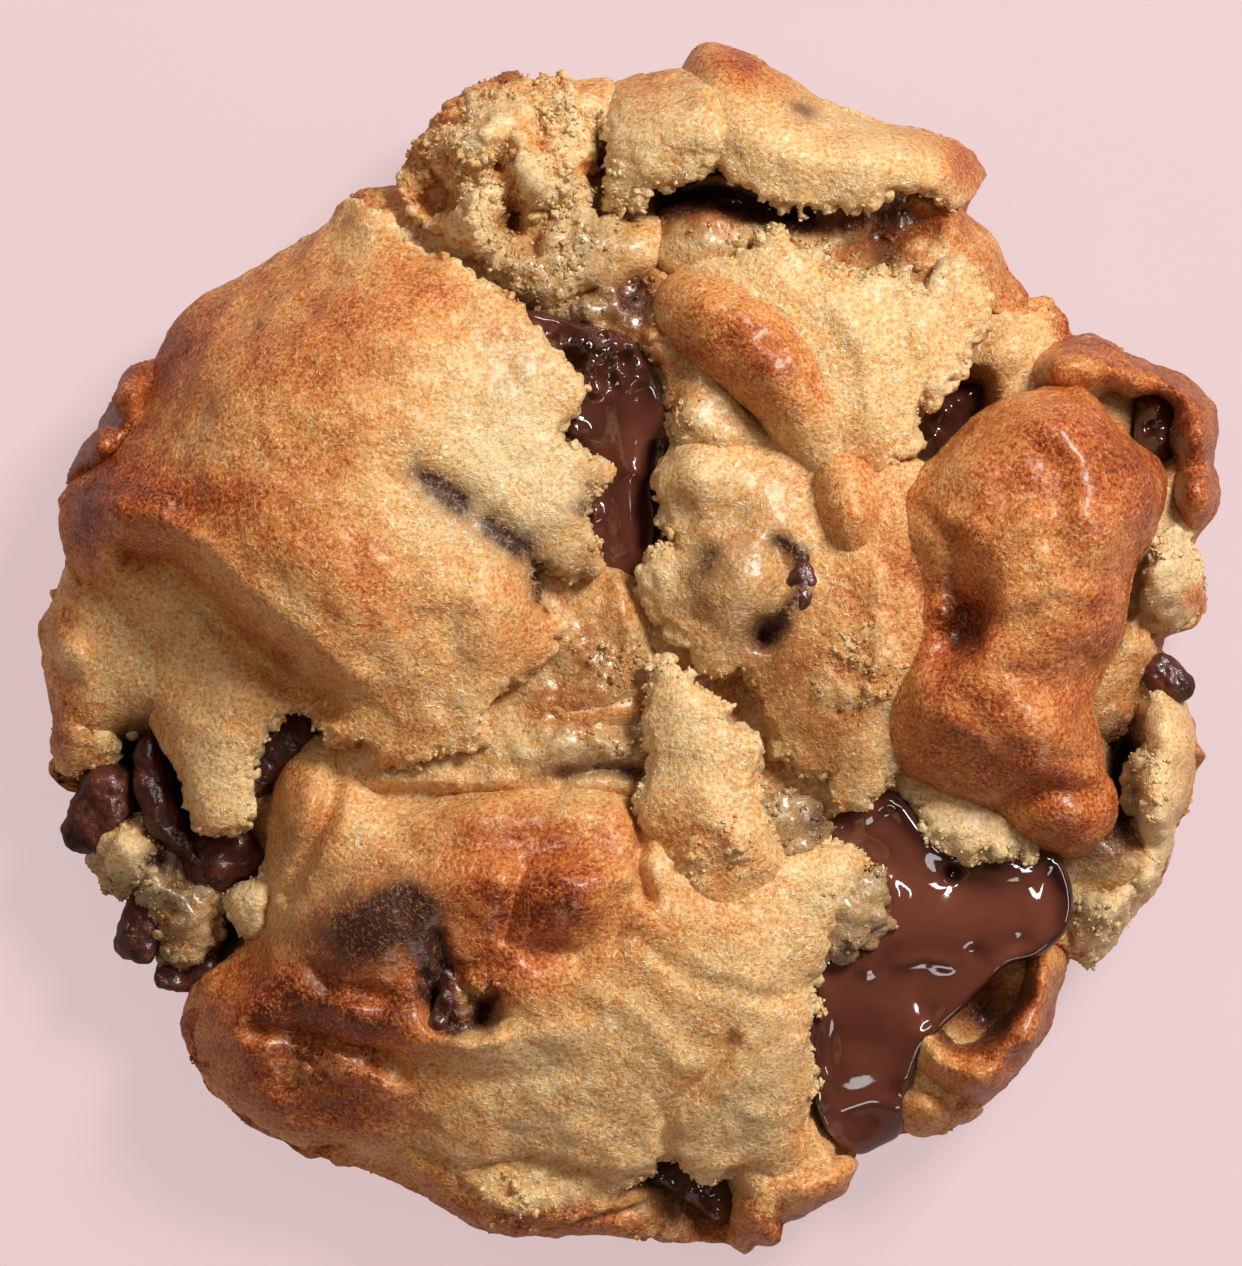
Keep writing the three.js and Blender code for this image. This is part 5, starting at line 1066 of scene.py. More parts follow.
pools = {
    "poolLarge": {
        "node": "chocolate_pool_large", "outline": [
            (19.6, -17, 20.6), (25.5, -13.8, 20.6), (30, -18.6, 20.6), (34, -20, 20.4), (40.4, -18.8, 20.2),
            (43.2, -22, 20), (43.2, -26.6, 19.6), (40.4, -29.8, 19.2), (36.8, -31.2, 18.8), (32.8, -35, 18.2),
            (29.2, -38.6, 17.4), (28, -41.5, 16.2), (27, -46.4, 13.6), (26.4, -48, 11.4), (25, -48.9, 10.4),
            (22.8, -50, 10.2), (20.4, -48.6, 12.4), (18.6, -45.5, 14.4), (17, -39, 16.8), (18.4, -34, 18.2),
            (17.6, -30, 19), (17.6, -26, 19.8), (18, -22, 20.4)],
        "heights": [(33, -26, 20), (28, -32, 18.4), (24, -40, 16.2), (23.6, -45, 14)],
        "folds": [
            (1.1, 1.5, [(17.8, -46), (17.2, -41), (18, -36.4), (17.8, -31)]),
            (1.0, 0.7, [(18.8, -43.6), (18.2, -45.4), (19.2, -47), (18.8, -49), (20.6, -50.4)]),
            (0.9, 1.3, [(26, -14.6), (28.6, -17.6), (31, -20.6), (36, -21.8), (42, -20.6), (43.4, -25)]),
            (1.0, 1.3, [(43, -27), (40.2, -30), (36.4, -31.4), (32.4, -35.4), (29, -38.2), (27.4, -42)]),
            (0.9, 1.2, [(19, -18), (22.4, -16.4), (25, -15)]),
            (0.8, 1.2, [(24.4, -21.6), (26, -24), (25.6, -28), (23.4, -31)]),
            (-0.5, 1.2, [(21, -19), (23, -19.6), (24.6, -21)]), (0.35, 0.8, [(26.6, -30.8), (29, -30.3), (31.4, -31)]),
            (-0.45, 1.4, [(29, -34.4), (31, -32.4), (34.6, -30.4)]), (0.4, 1, [(20.6, -45.4), (24, -44.4), (27, -45.2)])],
        "bumps": [(32.3, -22.4, 3.2, -1.6), (31.8, -21.8, 0.9, -1.2), (41.8, -22.4, 2.2, 3, 0, -1.2),
            (39.2, -20.4, 1.2, -0.7), (21.8, -17, 1.4, -0.7), (25.4, -16, 1.2, -0.6), (19.6, -38.6, 1, 2.4, 0, -0.6),
            (18.7, -44.6, 0.9, 1.2), (19.4, -47.2, 1.1, 1.3), (19.2, -49.4, 0.9, 1.0), (18.3, -42.2, 0.8, 0.9),
            (27.4, -20, 2.2, 0.5), (36, -26.6, 3, 0.5), (25.4, -35.6, 3.4, 0.6), (23.6, -20, 1.3, -0.6),
            (29.6, -36.2, 1.3, -0.6), (38.4, -28.8, 1.2, -0.5), (22.4, -41, 2.4, 0.5), (33.6, -29.6, 0.8, -0.4)],
        # painted shade: dark where the pool runs in under the crust's edges and in the dimple's hole
        "stainAndShade": (0.0, [(18.6, -46, 1.6, 5, 0, 0.6), (18.4, -38, 1, 5, 0, 0.4), (31.8, -21.7, 1.0, 1.3), (19, -18, 2, 0.5)],
            [(0.9, 0.9, [(26, -15), (28.8, -18.4), (31, -20.4), (36, -21.2), (41, -20.4), (43.2, -24), (42.6, -28)]),
             (0.7, 0.7, [(42, -28.6), (38, -30.8), (34.4, -33.4), (31.6, -36.4), (29.2, -38.2), (27.6, -42)]),
             (0.5, 0.4, [(27, -31.2), (29, -30.5), (31, -31)])]),
    },
    "poolMiddle": {
        "node": "chocolate_pool_middle", "outline": [
            (-10.4, 33, 23.6), (-5, 32, 24), (0, 30.6, 23.8), (3, 26, 23), (4.2, 20.4, 22), (3.2, 17, 21.4), (4.8, 12.4, 20.8),
            (3, 8.4, 20.6), (-1.8, 6.2, 20.6), (-4.4, 8, 20.6), (-5.6, 12, 20.8), (-4.4, 17, 21.2), (-7, 19.4, 21.8),
            (-8, 23, 22.4), (-8, 28, 23.2)],
        "heights": [(-3, 27, 23.6), (-0.6, 22, 22.2), (0, 15, 20.9), (0, 10.4, 20.4)],
        "folds": [(0.9, 1.0, [(-7.6, 30.6), (-4, 28.6), (-3, 26)]), (0.8, 0.9, [(-4.6, 31), (-1.6, 28.6), (-0.4, 25.8)]),
            (-1.1, 0.9, [(2.6, 19.6), (1.6, 16), (2.2, 12.6), (1.8, 10.4)]),
            (0.7, 1.4, [(-0.6, 24), (-0.2, 19), (-0.6, 13), (0.2, 10)])],
        "bumps": [(-1.4, 30, 1, 1.4), (-5.6, 28.6, 1, -1.5), (-2.6, 30.6, 0.8, -1.5), (-6.8, 29.6, 0.7, 1.3), (-3.6, 28, 0.9, 1.6),
            (-0.6, 28, 0.8, -1.4), (-4.6, 26.2, 0.7, 1.3), (-2, 26.4, 0.9, -1.3), (0.4, 29.8, 0.7, 1.3), (-7.6, 31, 0.7, -1.2),
            (0.8, 26.6, 0.8, 1.2), (-5.4, 21.4, 1.3, 1.3), (-6.2, 19.8, 0.7, -1.2), (-3.4, 13.6, 0.8, 1), (0.8, 17.4, 0.9, 0.9),
            (-2.6, 29.2, 0.5, 0.9), (-4.8, 30, 0.5, 0.9), (-1.8, 27.6, 0.5, -0.8), (-5.4, 27.2, 0.5, 0.9), (-3.2, 25.2, 0.6, 0.7)],
        # darker chocolate on the rough top, and painted shade in the groove along the right edge
        "stainAndShade": (0.10, [(-4, 29, 5, 3.2, -30, 0.8), (-5.6, 21, 2, 0.7), (-3.6, 9.6, 1.6, 0.5), (2.4, 26, 1.4, 3, 20, 0.6)],
            [(1.3, 1.0, [(3, 20), (2.2, 16), (3, 12), (2.6, 9)])]),
    },
    "crackTop": {
        "node": "chocolate_top_crack", "outline": [
            (3.6, 43.4, 14), (7.5, 45.6, 14), (11.4, 45.2, 14), (17, 43.6, 14), (12.8, 41.6, 14), (8, 42, 14)],
        "heights": [(10, 43.6, 14.3)], "bumps": [(6.6, 44, 0.9, 0.9), (10, 44.4, 0.8, 0.8), (13.6, 43.6, 0.9, 0.9)],
        "stainAndShade": (0.8,),
    },
    "crackBottom": {
        "node": "chocolate_bottom_crack", "outline": [
            (0.6, -51.6, 11.2), (4.5, -50, 11.6), (8.6, -51.2, 11.6), (10.4, -54.6, 10.6), (8.8, -57, 9.4), (6.4, -55, 10.4),
            (3.6, -53.4, 10.8)],
        "heights": [(6, -52.8, 11.4)],
        "bumps": [(8.6, -55.6, 1, 1.6), (3, -52, 1, 1.2), (6, -53.4, 0.8, 1.1), (8, -53, 0.6, 1)],
        "stainAndShade": (0.7,),
    },
    "creviceRight": {
        "node": "chocolate_right_crevice", "outline": [
            (27.4, 18.8, 12.4), (29, 22.8, 13), (32, 26.2, 13), (35, 26, 13), (33.6, 22, 12.8), (30.6, 19, 12.6)],
        "heights": [(31, 22.6, 13.4)], "bumps": [(31, 23.6, 1, 1.3), (30, 21, 0.8, 1.2), (32.4, 24.6, 0.6, 1)],
        "stainAndShade": (0.7,),
    },
    "hollowRim": {
        "node": "chocolate_rim_hollow", "outline": [
            (50, 18.6, 12.8), (50, 24.8, 13.4), (52.4, 26.8, 13.4), (54.2, 23, 13), (53.6, 19, 12.6)],
        "heights": [(52, 22.6, 13.6)], "bumps": [(52, 24, 1, 1.4), (52.4, 20.6, 0.9, 1.3), (51.4, 22, 0.6, -0.9)],
        "stainAndShade": (0.5,),
    },
}


poolEdge = {"torn": 0, "round": 1.2, "lip": 2.2, "swell": 0.02, "pimple": 0.0, "step": 0.25}


def poolMesh(spec):
    # a slab with a smooth, thin, rounded edge, and with the bumps and folds of its own spec
    line = closedSpline([row[:3] + (0,) for row in spec["outline"]], 0.45)
    return slabMesh({**spec, "outline": [tuple(row) for row in line[::2]], **poolEdge})


# Chunks and chips. A row is the piece, its node, its middle, its half sizes, how it is turned and tipped in
# degrees, how far it is bowed, and how square it is, from 2 for an egg to 4 and more for a block.

chunkColumns = ("node", "centre", "half", "turn", "tip", "bend", "square")
chunks = {name: dict(zip(chunkColumns, row)) for name, *row in (
    ("chunkLeftRim", "chunk_left_rim", (-52.7, -15.6, 9), (2.5, 4.4, 3.6), 20, 6, 0.3, 3.4),
    ("chunkLowerLeft", "chunk_lower_left", (-48.2, -27.2, 8.2), (2.2, 3.6, 3.2), 22, -4, 0, 3.2),
    ("barEnd", "chocolate_bar_end", (-43.6, -32.3, 7.2), (3.3, 1.4, 2.6), 4, 0, 0, 4.4),
    ("chipCurled", "chip_curled", (-44.4, -14.6, 11.6), (1.7, 7.4, 2.8), -20, -4, -2.2, 2.3),
    ("chunkGap", "chunk_gap", (-40, -20.6, 10.8), (4.2, 2.8, 2.8), -24, 4, 0, 2.8),
    ("chipUnderSlab", "chip_under_slab", (-34.8, -9.6, 15.4), (2.4, 5.4, 2.6), 36, 4, 0, 2.6),
    ("chipRimRight", "chip_right_rim", (52.7, -2.4, 14.6), (2.4, 1.8, 1.9), 40, 10, 0.4, 2.3),
    ("chipLowerSlab", "chip_lower_slab", (-18.3, -34.2, 23.5), (1.1, 3.6, 1.6), 22, -8, 0.5, 2.6),
    ("chipBuried", "chip_buried", (15.2, 6.8, 25.7), (1.3, 4.6, 1.9), 2, 0, 1.8, 2.2),
)}
chunkSurface = {
    "steps": 64,          # vertices round
    "rings": 44,          # and from pole to pole
    "knobbly": 0.8,       # height of the uneven melting
    "lumps": [(0.8, 2.3, 62), (0.22, 0.9, 64)],   # height, size, seed
}


def roundedBlock(spec, steps, rings):
    # a sphere's rings pushed out towards a box, bowed along its length, tipped, turned and put in place
    fall, spin = np.meshgrid(np.linspace(0.02, math.pi - 0.02, rings),
                             np.linspace(0, 2 * math.pi, steps, endpoint=False), indexing="ij")

    def boxy(value):
        return np.sign(value) * np.abs(value) ** (2 / spec["square"])

    half = spec["half"]
    x = half[0] * boxy(np.sin(fall)) * boxy(np.cos(spin))
    y = half[1] * boxy(np.sin(fall)) * boxy(np.sin(spin))
    z = half[2] * boxy(np.cos(fall))
    x = x + spec["bend"] * (1 - (y / half[1]) ** 2)
    tip, turn = math.radians(spec["tip"]), math.radians(-spec["turn"])
    y, z = y * math.cos(tip) - z * math.sin(tip), y * math.sin(tip) + z * math.cos(tip)
    x, y = x * math.cos(turn) - y * math.sin(turn), x * math.sin(turn) + y * math.cos(turn)
    points = np.c_[x.ravel(), y.ravel(), z.ravel()] + np.array(spec["centre"])
    index = np.arange(steps * rings).reshape(rings, steps)
    upper, lower = index[:-1], index[1:]
    quads = np.stack([upper, lower, np.roll(lower, -1, 1), np.roll(upper, -1, 1)], -1).reshape(-1, 4)
    poles = np.array([points[:steps].mean(axis=0), points[-steps:].mean(axis=0)])
    points = np.r_[points, poles]
    first, last = index[0], index[-1]
    half1, half2 = np.roll(first, -1), np.roll(last, -1)
    top = np.c_[np.full(steps // 2, len(points) - 2), first[::2], half1[::2], np.roll(half1, -1)[::2]]
    bottom = np.c_[np.full(steps // 2, len(points) - 1), np.roll(half2, -1)[::2], half2[::2], last[::2]]
    return points, np.r_[quads, top, bottom]


def chunkMesh(spec):
    # the block with lumps pushed out along its normal; its stain channel is the pale dust on the chocolate
    points, quads = roundedBlock(spec, chunkSurface["steps"], chunkSurface["rings"])
    normal = vertexNormals(points, quads)
    push = chunkSurface["knobbly"] * fractal(points, 3.2, 4, 61) + packedLumps(points, chunkSurface["lumps"])
    points = points + normal * push[:, None]
    tone = np.zeros((len(points), 4))
    tone[:, 2] = np.clip(0.5 + fractal(points, 3, 2, 66), 0, 1)
    return points, quads, tone


# loose crumbs

crumbs = {
    "lumps": 1700,             # larger crumbs, 80 triangles each
    "lumpSize": (0.22, 0.75),  # radius range in mm
    "grains": 9000,            # small ones, 20 triangles each
    "grainSize": (0.12, 0.34),
    "sunk": 0.3,               # how far the middle lies under the surface, over the radius
    "seed": 12,
}


def ballMesh(subdivisions):
    # corners and triangles of a ball of radius 1
    made = bmesh.new()
    bmesh.ops.create_icosphere(made, subdivisions=subdivisions, radius=1)
    points = np.array([v.co[:] for v in made.verts])
    faces = np.array([[v.index for v in f.verts] for f in made.faces])
    made.free()
    return points, faces


def scattered(ball, places, sizes, rng):
    # copies of a ball, each stretched by its own three numbers, dented at every vertex and turned at random
    points, faces = ball
    count = len(places)
    stretch = rng.uniform(0.5, 1.45, (count, 1, 3))
    dent = rng.uniform(0.55, 1.3, (count, len(points), 1))
    turn = np.linalg.qr(rng.normal(size=(count, 3, 3)))[0]
    flip = np.sign(np.linalg.det(turn))
    turn[:, :, 0] *= flip[:, None]
    shape = np.einsum("nij,nvj->nvi", turn, points[None] * stretch * dent)
    allPoints = places[:, None] + shape * sizes[:, None, None]
    allFaces = faces[None] + (np.arange(count) * len(points))[:, None, None]
    return allPoints.reshape(-1, 3), allFaces.reshape(-1, 3)


def crumbMesh(surface, subdivisions, count, sizeRange, rng):
    # balls on torn places that face upwards, in bunches, most of them small, each a little paler or browner
    points, quads, tone = surface
    normal = vertexNormals(points, quads)
    chance = np.clip(tone[:, 3] - 0.35, 0, 1) ** 1.5 * (normal[:, 2] > -0.3) * (points[:, 2] > 5)
    chance *= np.clip(0.4 + 1.6 * noise(points, 3.5, 71), 0, 1)
    picked = rng.choice(len(points), count, p=chance / chance.sum())
    sizes = sizeRange[0] + (sizeRange[1] - sizeRange[0]) * rng.random(count) ** 2.2
    places = points[picked] - normal[picked] * (sizes * crumbs["sunk"])[:, None]
    places = places + rng.normal(0, 0.12, (count, 3))
    allPoints, faces = scattered(ballMesh(subdivisions), places, sizes, rng)
    colours = tone[picked].copy()
    colours[:, 0] -= 0.06 - 0.14 * rng.random(count)
    return allPoints, faces, np.repeat(colours, len(allPoints) // count, axis=0)


# materials

def srgb(red, green, blue):
    # screen colour, 0 to 255, to the linear values that sockets take
    return tuple(c / 12.92 if c <= 0.04045 else ((c + 0.055) / 1.055) ** 2.4
                 for c in (red / 255, green / 255, blue / 255)) + (1,)


class Nodes:
    # short ways to add and wire nodes in one tree
    def __init__(self, tree):
        self.tree = tree

    def add(self, kind, values=None, **settings):
        node = self.tree.nodes.new(kind)
        for key, value in settings.items():
            setattr(node, key, value)
        for key, value in (values or {}).items():
            self.put(node.inputs[key], value)
        return node

    def put(self, socket, value):
        if isinstance(value, bpy.types.NodeSocket):
            self.tree.links.new(value, socket)
        else:
            socket.default_value = value

    def math(self, operation, a, b=0.0, clamp=False):
        return self.add("ShaderNodeMath", {0: a, 1: b}, operation=operation, use_clamp=clamp).outputs[0]

    def mix(self, factor, a, b, blend="MIX"):
        node = self.add("ShaderNodeMix", data_type="RGBA", blend_type=blend, clamp_factor=True)
        self.put(node.inputs[0], factor)
        self.put(node.inputs[6], a)
        self.put(node.inputs[7], b)
        return node.outputs[2]

    def spread(self, value, low, high, toLow=0.0, toHigh=1.0):
        node = self.add("ShaderNodeMapRange", {"Value": value, "From Min": low, "From Max": high,
                                               "To Min": toLow, "To Max": toHigh})
        return node.outputs[0]


def grainGroup():
    # Fine: specks under half a millimetre. Short: thin curved strokes, the noise's contour lines broken up by
    # a second noise. Broad: patches of a few millimetres.
    tree = bpy.data.node_groups.new("surfaceGrain", "ShaderNodeTree")
    for name, value in (("Fine size", 0.42), ("Broad size", 3.2)):
        socket = tree.interface.new_socket(name, in_out="INPUT", socket_type="NodeSocketFloat")
        socket.default_value = value
    for name in ("Fine", "Short", "Broad"):
        tree.interface.new_socket(name, in_out="OUTPUT", socket_type="NodeSocketFloat")
    n = Nodes(tree)
    given = n.add("NodeGroupInput")
    place = n.add("ShaderNodeTexCoord").outputs["Object"]
    fineScale = n.math("DIVIDE", 1000.0, given.outputs["Fine size"])
    broadScale = n.math("DIVIDE", 1000.0, given.outputs["Broad size"])
    fine = n.add("ShaderNodeTexNoise", {"Vector": place, "Scale": fineScale, "Detail": 2.0, "Roughness": 0.6})
    gapScale = n.math("MULTIPLY", fineScale, 0.9)
    gaps = n.add("ShaderNodeTexNoise", {"Vector": place, "Scale": gapScale, "Detail": 0.0})
    short = 0.0
    for scale, distortion in ((0.56, 0.9), (0.76, 0.5)):
        curves = n.add("ShaderNodeTexNoise", {"Vector": place, "Scale": n.math("MULTIPLY", fineScale, scale),
                                              "Detail": 0.0, "Distortion": distortion})
        line = n.math("ABSOLUTE", n.math("SUBTRACT", curves.outputs[0], 0.5))
        short = n.math("MAXIMUM", short, n.spread(line, 0.012, 0.055, 1.0, 0.0))
    short = n.math("MULTIPLY", short, n.spread(gaps.outputs[0], 0.40, 0.54))
    broad = n.add("ShaderNodeTexNoise", {"Vector": place, "Scale": broadScale, "Detail": 3.0, "Roughness": 0.55})
    out = n.add("NodeGroupOutput")
    n.put(out.inputs["Fine"], n.spread(fine.outputs[0], 0.3, 0.7))
    n.put(out.inputs["Short"], short)
    n.put(out.inputs["Broad"], n.spread(broad.outputs[0], 0.3, 0.7))
    return tree


grain = grainGroup()


def newMaterial(name):
    # an empty tree with a shader, its output and the grain group
    material = bpy.data.materials.new(name)
    material.use_nodes = True
    material.node_tree.nodes.clear()
    n = Nodes(material.node_tree)
    shader = n.add("ShaderNodeBsdfPrincipled")
    out = n.add("ShaderNodeOutputMaterial")
    n.put(out.inputs["Surface"], shader.outputs[0])
    group = n.add("ShaderNodeGroup", node_tree=grain)
    return material, n, shader, group


doughLook = {
    "ramp": [(0.00, (233, 200, 146)), (0.18, (229, 184, 120)), (0.36, (223, 162, 94)), (0.55, (209, 131, 66)),
             (0.72, (184, 92, 42)), (0.86, (148, 60, 21)), (1.00, (94, 36, 12))],
    "paleGlintStroke": (255, 240, 204),    # painted glints: short strokes on pale dough and painted glints on brown crust
    "brownGlintStroke": (238, 156, 92),    # and on brown crust
    # painted shade: the colour that darkens the grain's pits
    "pitShadeColour": (190, 140, 92),
    "fineSize": 0.42,                 # in mm
    "broadSize": 3.2,
    "wetColour": (130, 90, 46),
    # real chocolate stains and painted shade in voids, cracks, crevices and hollows share this colour
    "stainAndShadeColour": (64, 33, 28),
    "coatRoughness": 0.2,
    "glintColour": (255, 224, 184),
    "glow": 0.12,                     # share of the light that goes in and comes out again
    "glowReach": 0.0012,              # how far it goes, in metres
    "bump": 0.64,
    "bumpHeight": 0.00022,
}


def doughMaterial(look):
    # Browning, shifted by the grain, picks a colour from the ramp. Pits are painted darker as shade, strokes paler as
    # painted glints, and wetness and stains, with the painted shade that the stain channel also carries, are mixed in
    # after them. Brown or wet places are glossier.
    material, n, shader, group = newMaterial("bakedDough")
    n.put(group.inputs["Fine size"], look["fineSize"])
    n.put(group.inputs["Broad size"], look["broadSize"])
    fine, short, broad = (group.outputs[k] for k in ("Fine", "Short", "Broad"))
    layer = n.add("ShaderNodeAttribute", attribute_name="tone")
    split = n.add("ShaderNodeSeparateColor", {0: layer.outputs["Color"]})
    brown, wet, stainAndShade = split.outputs[0], split.outputs[1], split.outputs[2]
    crumb = layer.outputs["Alpha"]

    level = n.math("ADD", brown, n.spread(broad, 0, 1, -0.09, 0.09))
    # the short strokes also lower the browning: part of the painted glints
    level = n.math("SUBTRACT", level, n.math("MULTIPLY", short, 0.16))
    level = n.math("ADD", level, n.spread(fine, 0, 1, 0.15, -0.15), clamp=True)
    ramp = n.add("ShaderNodeValToRGB", {0: level})
    stops = ramp.color_ramp.elements
    while len(stops) < len(look["ramp"]):
        stops.new(0.5)
    for stop, (place, colour) in zip(stops, look["ramp"]):
        stop.position = place
        stop.color = srgb(*colour)
    # painted shade: the low places of the fine grain, which the bump also sinks, are darkened
    pitShade = n.spread(fine, 0.0, 0.6, 0.55, 0.0)
    colour = n.mix(pitShade, ramp.outputs[0], srgb(*look["pitShadeColour"]), "MULTIPLY")
    # painted glints: short pale strokes mixed over the colour
    glintStroke = n.mix(n.spread(brown, 0.25, 0.8), srgb(*look["paleGlintStroke"]), srgb(*look["brownGlintStroke"]))
    colour = n.mix(n.math("MULTIPLY", short, n.spread(brown, 0.3, 0.8, 0.5, 0.26)), colour, glintStroke)
    wetness = n.math("MULTIPLY", wet, 0.85, clamp=True)
    colour = n.mix(wetness, colour, n.mix(0.62, colour, srgb(*look["wetColour"])))
    # real stains and painted shade: the stain channel darkens stained places and also voids, cracks and crevices
    stainAndShadeAmount = n.math("MULTIPLY", stainAndShade, n.spread(fine, 0, 1, 0.7, 1.3))
    stainAndShadeAmount = n.math("MULTIPLY", stainAndShadeAmount, n.spread(short, 0, 1, 1.1, 0.75), clamp=True)
    colour = n.mix(stainAndShadeAmount, colour, srgb(*look["stainAndShadeColour"]))
    n.put(shader.inputs["Base Color"], colour)

    roughness = n.spread(brown, 0.3, 0.9, 0.44, 0.34)
    roughness = n.math("SUBTRACT", roughness, n.math("MULTIPLY", wetness, 0.2))
    roughness = n.math("ADD", roughness, n.spread(fine, 0, 1, 0.12, -0.10), clamp=True)
    n.put(shader.inputs["Roughness"], roughness)
    gloss = n.spread(brown, 0.45, 0.9, 0.08, 0.36)
    gloss = n.math("ADD", gloss, n.math("MULTIPLY", wetness, 0.6), clamp=True)
    n.put(shader.inputs["Coat Weight"], gloss)
    shader.inputs["Coat Roughness"].default_value = look["coatRoughness"]
    shader.inputs["Specular Tint"].default_value = srgb(*look["glintColour"])
    shader.inputs["Subsurface Weight"].default_value = look["glow"]
    shader.inputs["Subsurface Radius"].default_value = (1.0, 0.5, 0.25)
    shader.inputs["Subsurface Scale"].default_value = look["glowReach"]
    shader.inputs["IOR"].default_value = 1.45

    height = n.math("ADD", n.math("MULTIPLY", fine, 0.45), n.math("MULTIPLY", short, 0.55))
    height = n.math("ADD", height, n.math("MULTIPLY", n.math("MULTIPLY", crumb, broad), 0.5))
    bump = n.add("ShaderNodeBump", {"Strength": look["bump"], "Distance": look["bumpHeight"], "Height": height})
    n.put(shader.inputs["Normal"], bump.outputs[0])
    return material


poolLook = {
    "colour": (114, 61, 44),
    "dark": (88, 44, 32),
    "darkChocolateAndShade": (40, 14, 12),             # painted shade at edges and in hollows and cracks, and the darker chocolate of rough tops, in the stain channel's places
    "fineSize": 1.6,
    "broadSize": 9.0,
    "roughness": 0.06,
}


def poolMaterial(look):
    # two browns in broad patches, and the darkest where the stain channel is set, as painted shade and dark chocolate,
    # under a clear coat
    material, n, shader, group = newMaterial("meltedChocolate")
    n.put(group.inputs["Fine size"], look["fineSize"])
    n.put(group.inputs["Broad size"], look["broadSize"])
    broad = group.outputs["Broad"]
    layer = n.add("ShaderNodeAttribute", attribute_name="tone")
    split = n.add("ShaderNodeSeparateColor", {0: layer.outputs["Color"]})
    colour = n.mix(broad, srgb(*look["dark"]), srgb(*look["colour"]))
    # painted shade and dark chocolate where the stain channel is set
    n.put(shader.inputs["Base Color"], n.mix(split.outputs[2], colour, srgb(*look["darkChocolateAndShade"])))
    n.put(shader.inputs["Roughness"], n.spread(group.outputs["Fine"], 0, 1, look["roughness"] - 0.03,
                                               look["roughness"] + 0.06))
    shader.inputs["Coat Weight"].default_value = 0.6
    shader.inputs["Coat Roughness"].default_value = 0.03
    bump = n.add("ShaderNodeBump", {"Strength": 0.05, "Distance": 0.0002, "Height": group.outputs["Fine"]})
    n.put(shader.inputs["Normal"], bump.outputs[0])
    return material


chunkLook = {
    "colour": (92, 38, 24),
    "dark": (42, 16, 10),
    "bloom": (128, 84, 68),           # pale dust
    "fineSize": 0.8,
    "broadSize": 2.4,
    "roughness": 0.30,
}


def chunkMaterial(look):
    # two browns in broad patches, with fine pale dust on top
    material, n, shader, group = newMaterial("chunkChocolate")
    n.put(group.inputs["Fine size"], look["fineSize"])
    n.put(group.inputs["Broad size"], look["broadSize"])
    fine, broad = group.outputs["Fine"], group.outputs["Broad"]
    layer = n.add("ShaderNodeAttribute", attribute_name="tone")
    split = n.add("ShaderNodeSeparateColor", {0: layer.outputs["Color"]})
    colour = n.mix(broad, srgb(*look["dark"]), srgb(*look["colour"]))
    dust = n.math("MULTIPLY", n.math("MULTIPLY", split.outputs[2], fine), 0.22, clamp=True)
    colour = n.mix(dust, colour, srgb(*look["bloom"]))
    n.put(shader.inputs["Base Color"], colour)
    n.put(shader.inputs["Roughness"], n.spread(fine, 0, 1, look["roughness"] - 0.1, look["roughness"] + 0.15))
    bump = n.add("ShaderNodeBump", {"Strength": 0.5, "Distance": 0.0002, "Height": fine})
    n.put(shader.inputs["Normal"], bump.outputs[0])
    return material


dough, pool, chunk = doughMaterial(doughLook), poolMaterial(poolLook), chunkMaterial(chunkLook)
print("materials made")


# putting it together

def placed(name, surface, material, slot, *nodes):
    # one object from a mesh, riding on the root body, in place of its nodes; the slot argument is not used
    piece = makeObject(name, *surface)
    piece.data.materials.append(material)
    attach(piece, "root")
    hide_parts(*nodes)
    return piece


slabGroups = {
    "crustLeft": ["slabLeft"],
    "crustLower": ["slabLower"],
    "crustRight": ["slabRight", "lipRight", "rimKnobs", "crumbRight", "pieceShaded", "chunkRimRight"],
    "crustCentre": ["slabCentreTop", "ridgeSausage", "bumpCentre", "slabCentre", "flapCentre"],
    "crustTop": ["slabTopRight", "pieceTop", "patchTopLeft", "patchHollow"],
    "crustMiddle": ["patchMiddle", "patchSausage"],
    "crustRim": ["ridgeLowerRight", "lobeLowerRight", "lobeBottom", "rimLeft", "lumpRimLeft", "chunkCrumbLeft",
                 "piecePale", "bitWetUpper", "bitWetLower"],
}

surfaces = [moundMesh(mound)]
placed("doughMound", surfaces[0], dough, "dough", "dough")
for name, members in slabGroups.items():
    surfaces.append(joined([slabMesh(slabs[member]) for member in members]))
    placed(name, surfaces[-1], dough, "dough", "dough")
print("dough made:", sum(len(s[0]) for s in surfaces), "vertices")

for name, spec in pools.items():
    placed(name, poolMesh(spec), pool, "chocolate", spec["node"])
for name, spec in chunks.items():
    placed(name, chunkMesh(spec), chunk, "chocolate", spec["node"])
print("chocolate made")

draw = np.random.default_rng(crumbs["seed"])
allDough = joined(surfaces)
for name, subdivisions, kind, size in (("crumbLumps", 2, "lumps", "lumpSize"),
                                       ("crumbGrains", 1, "grains", "grainSize")):
    loose = crumbMesh(allDough, subdivisions, crumbs[kind], crumbs[size], draw)
    placed(name, loose, dough, "dough", "dough")
print("crumbs made")


# floor, light and camera

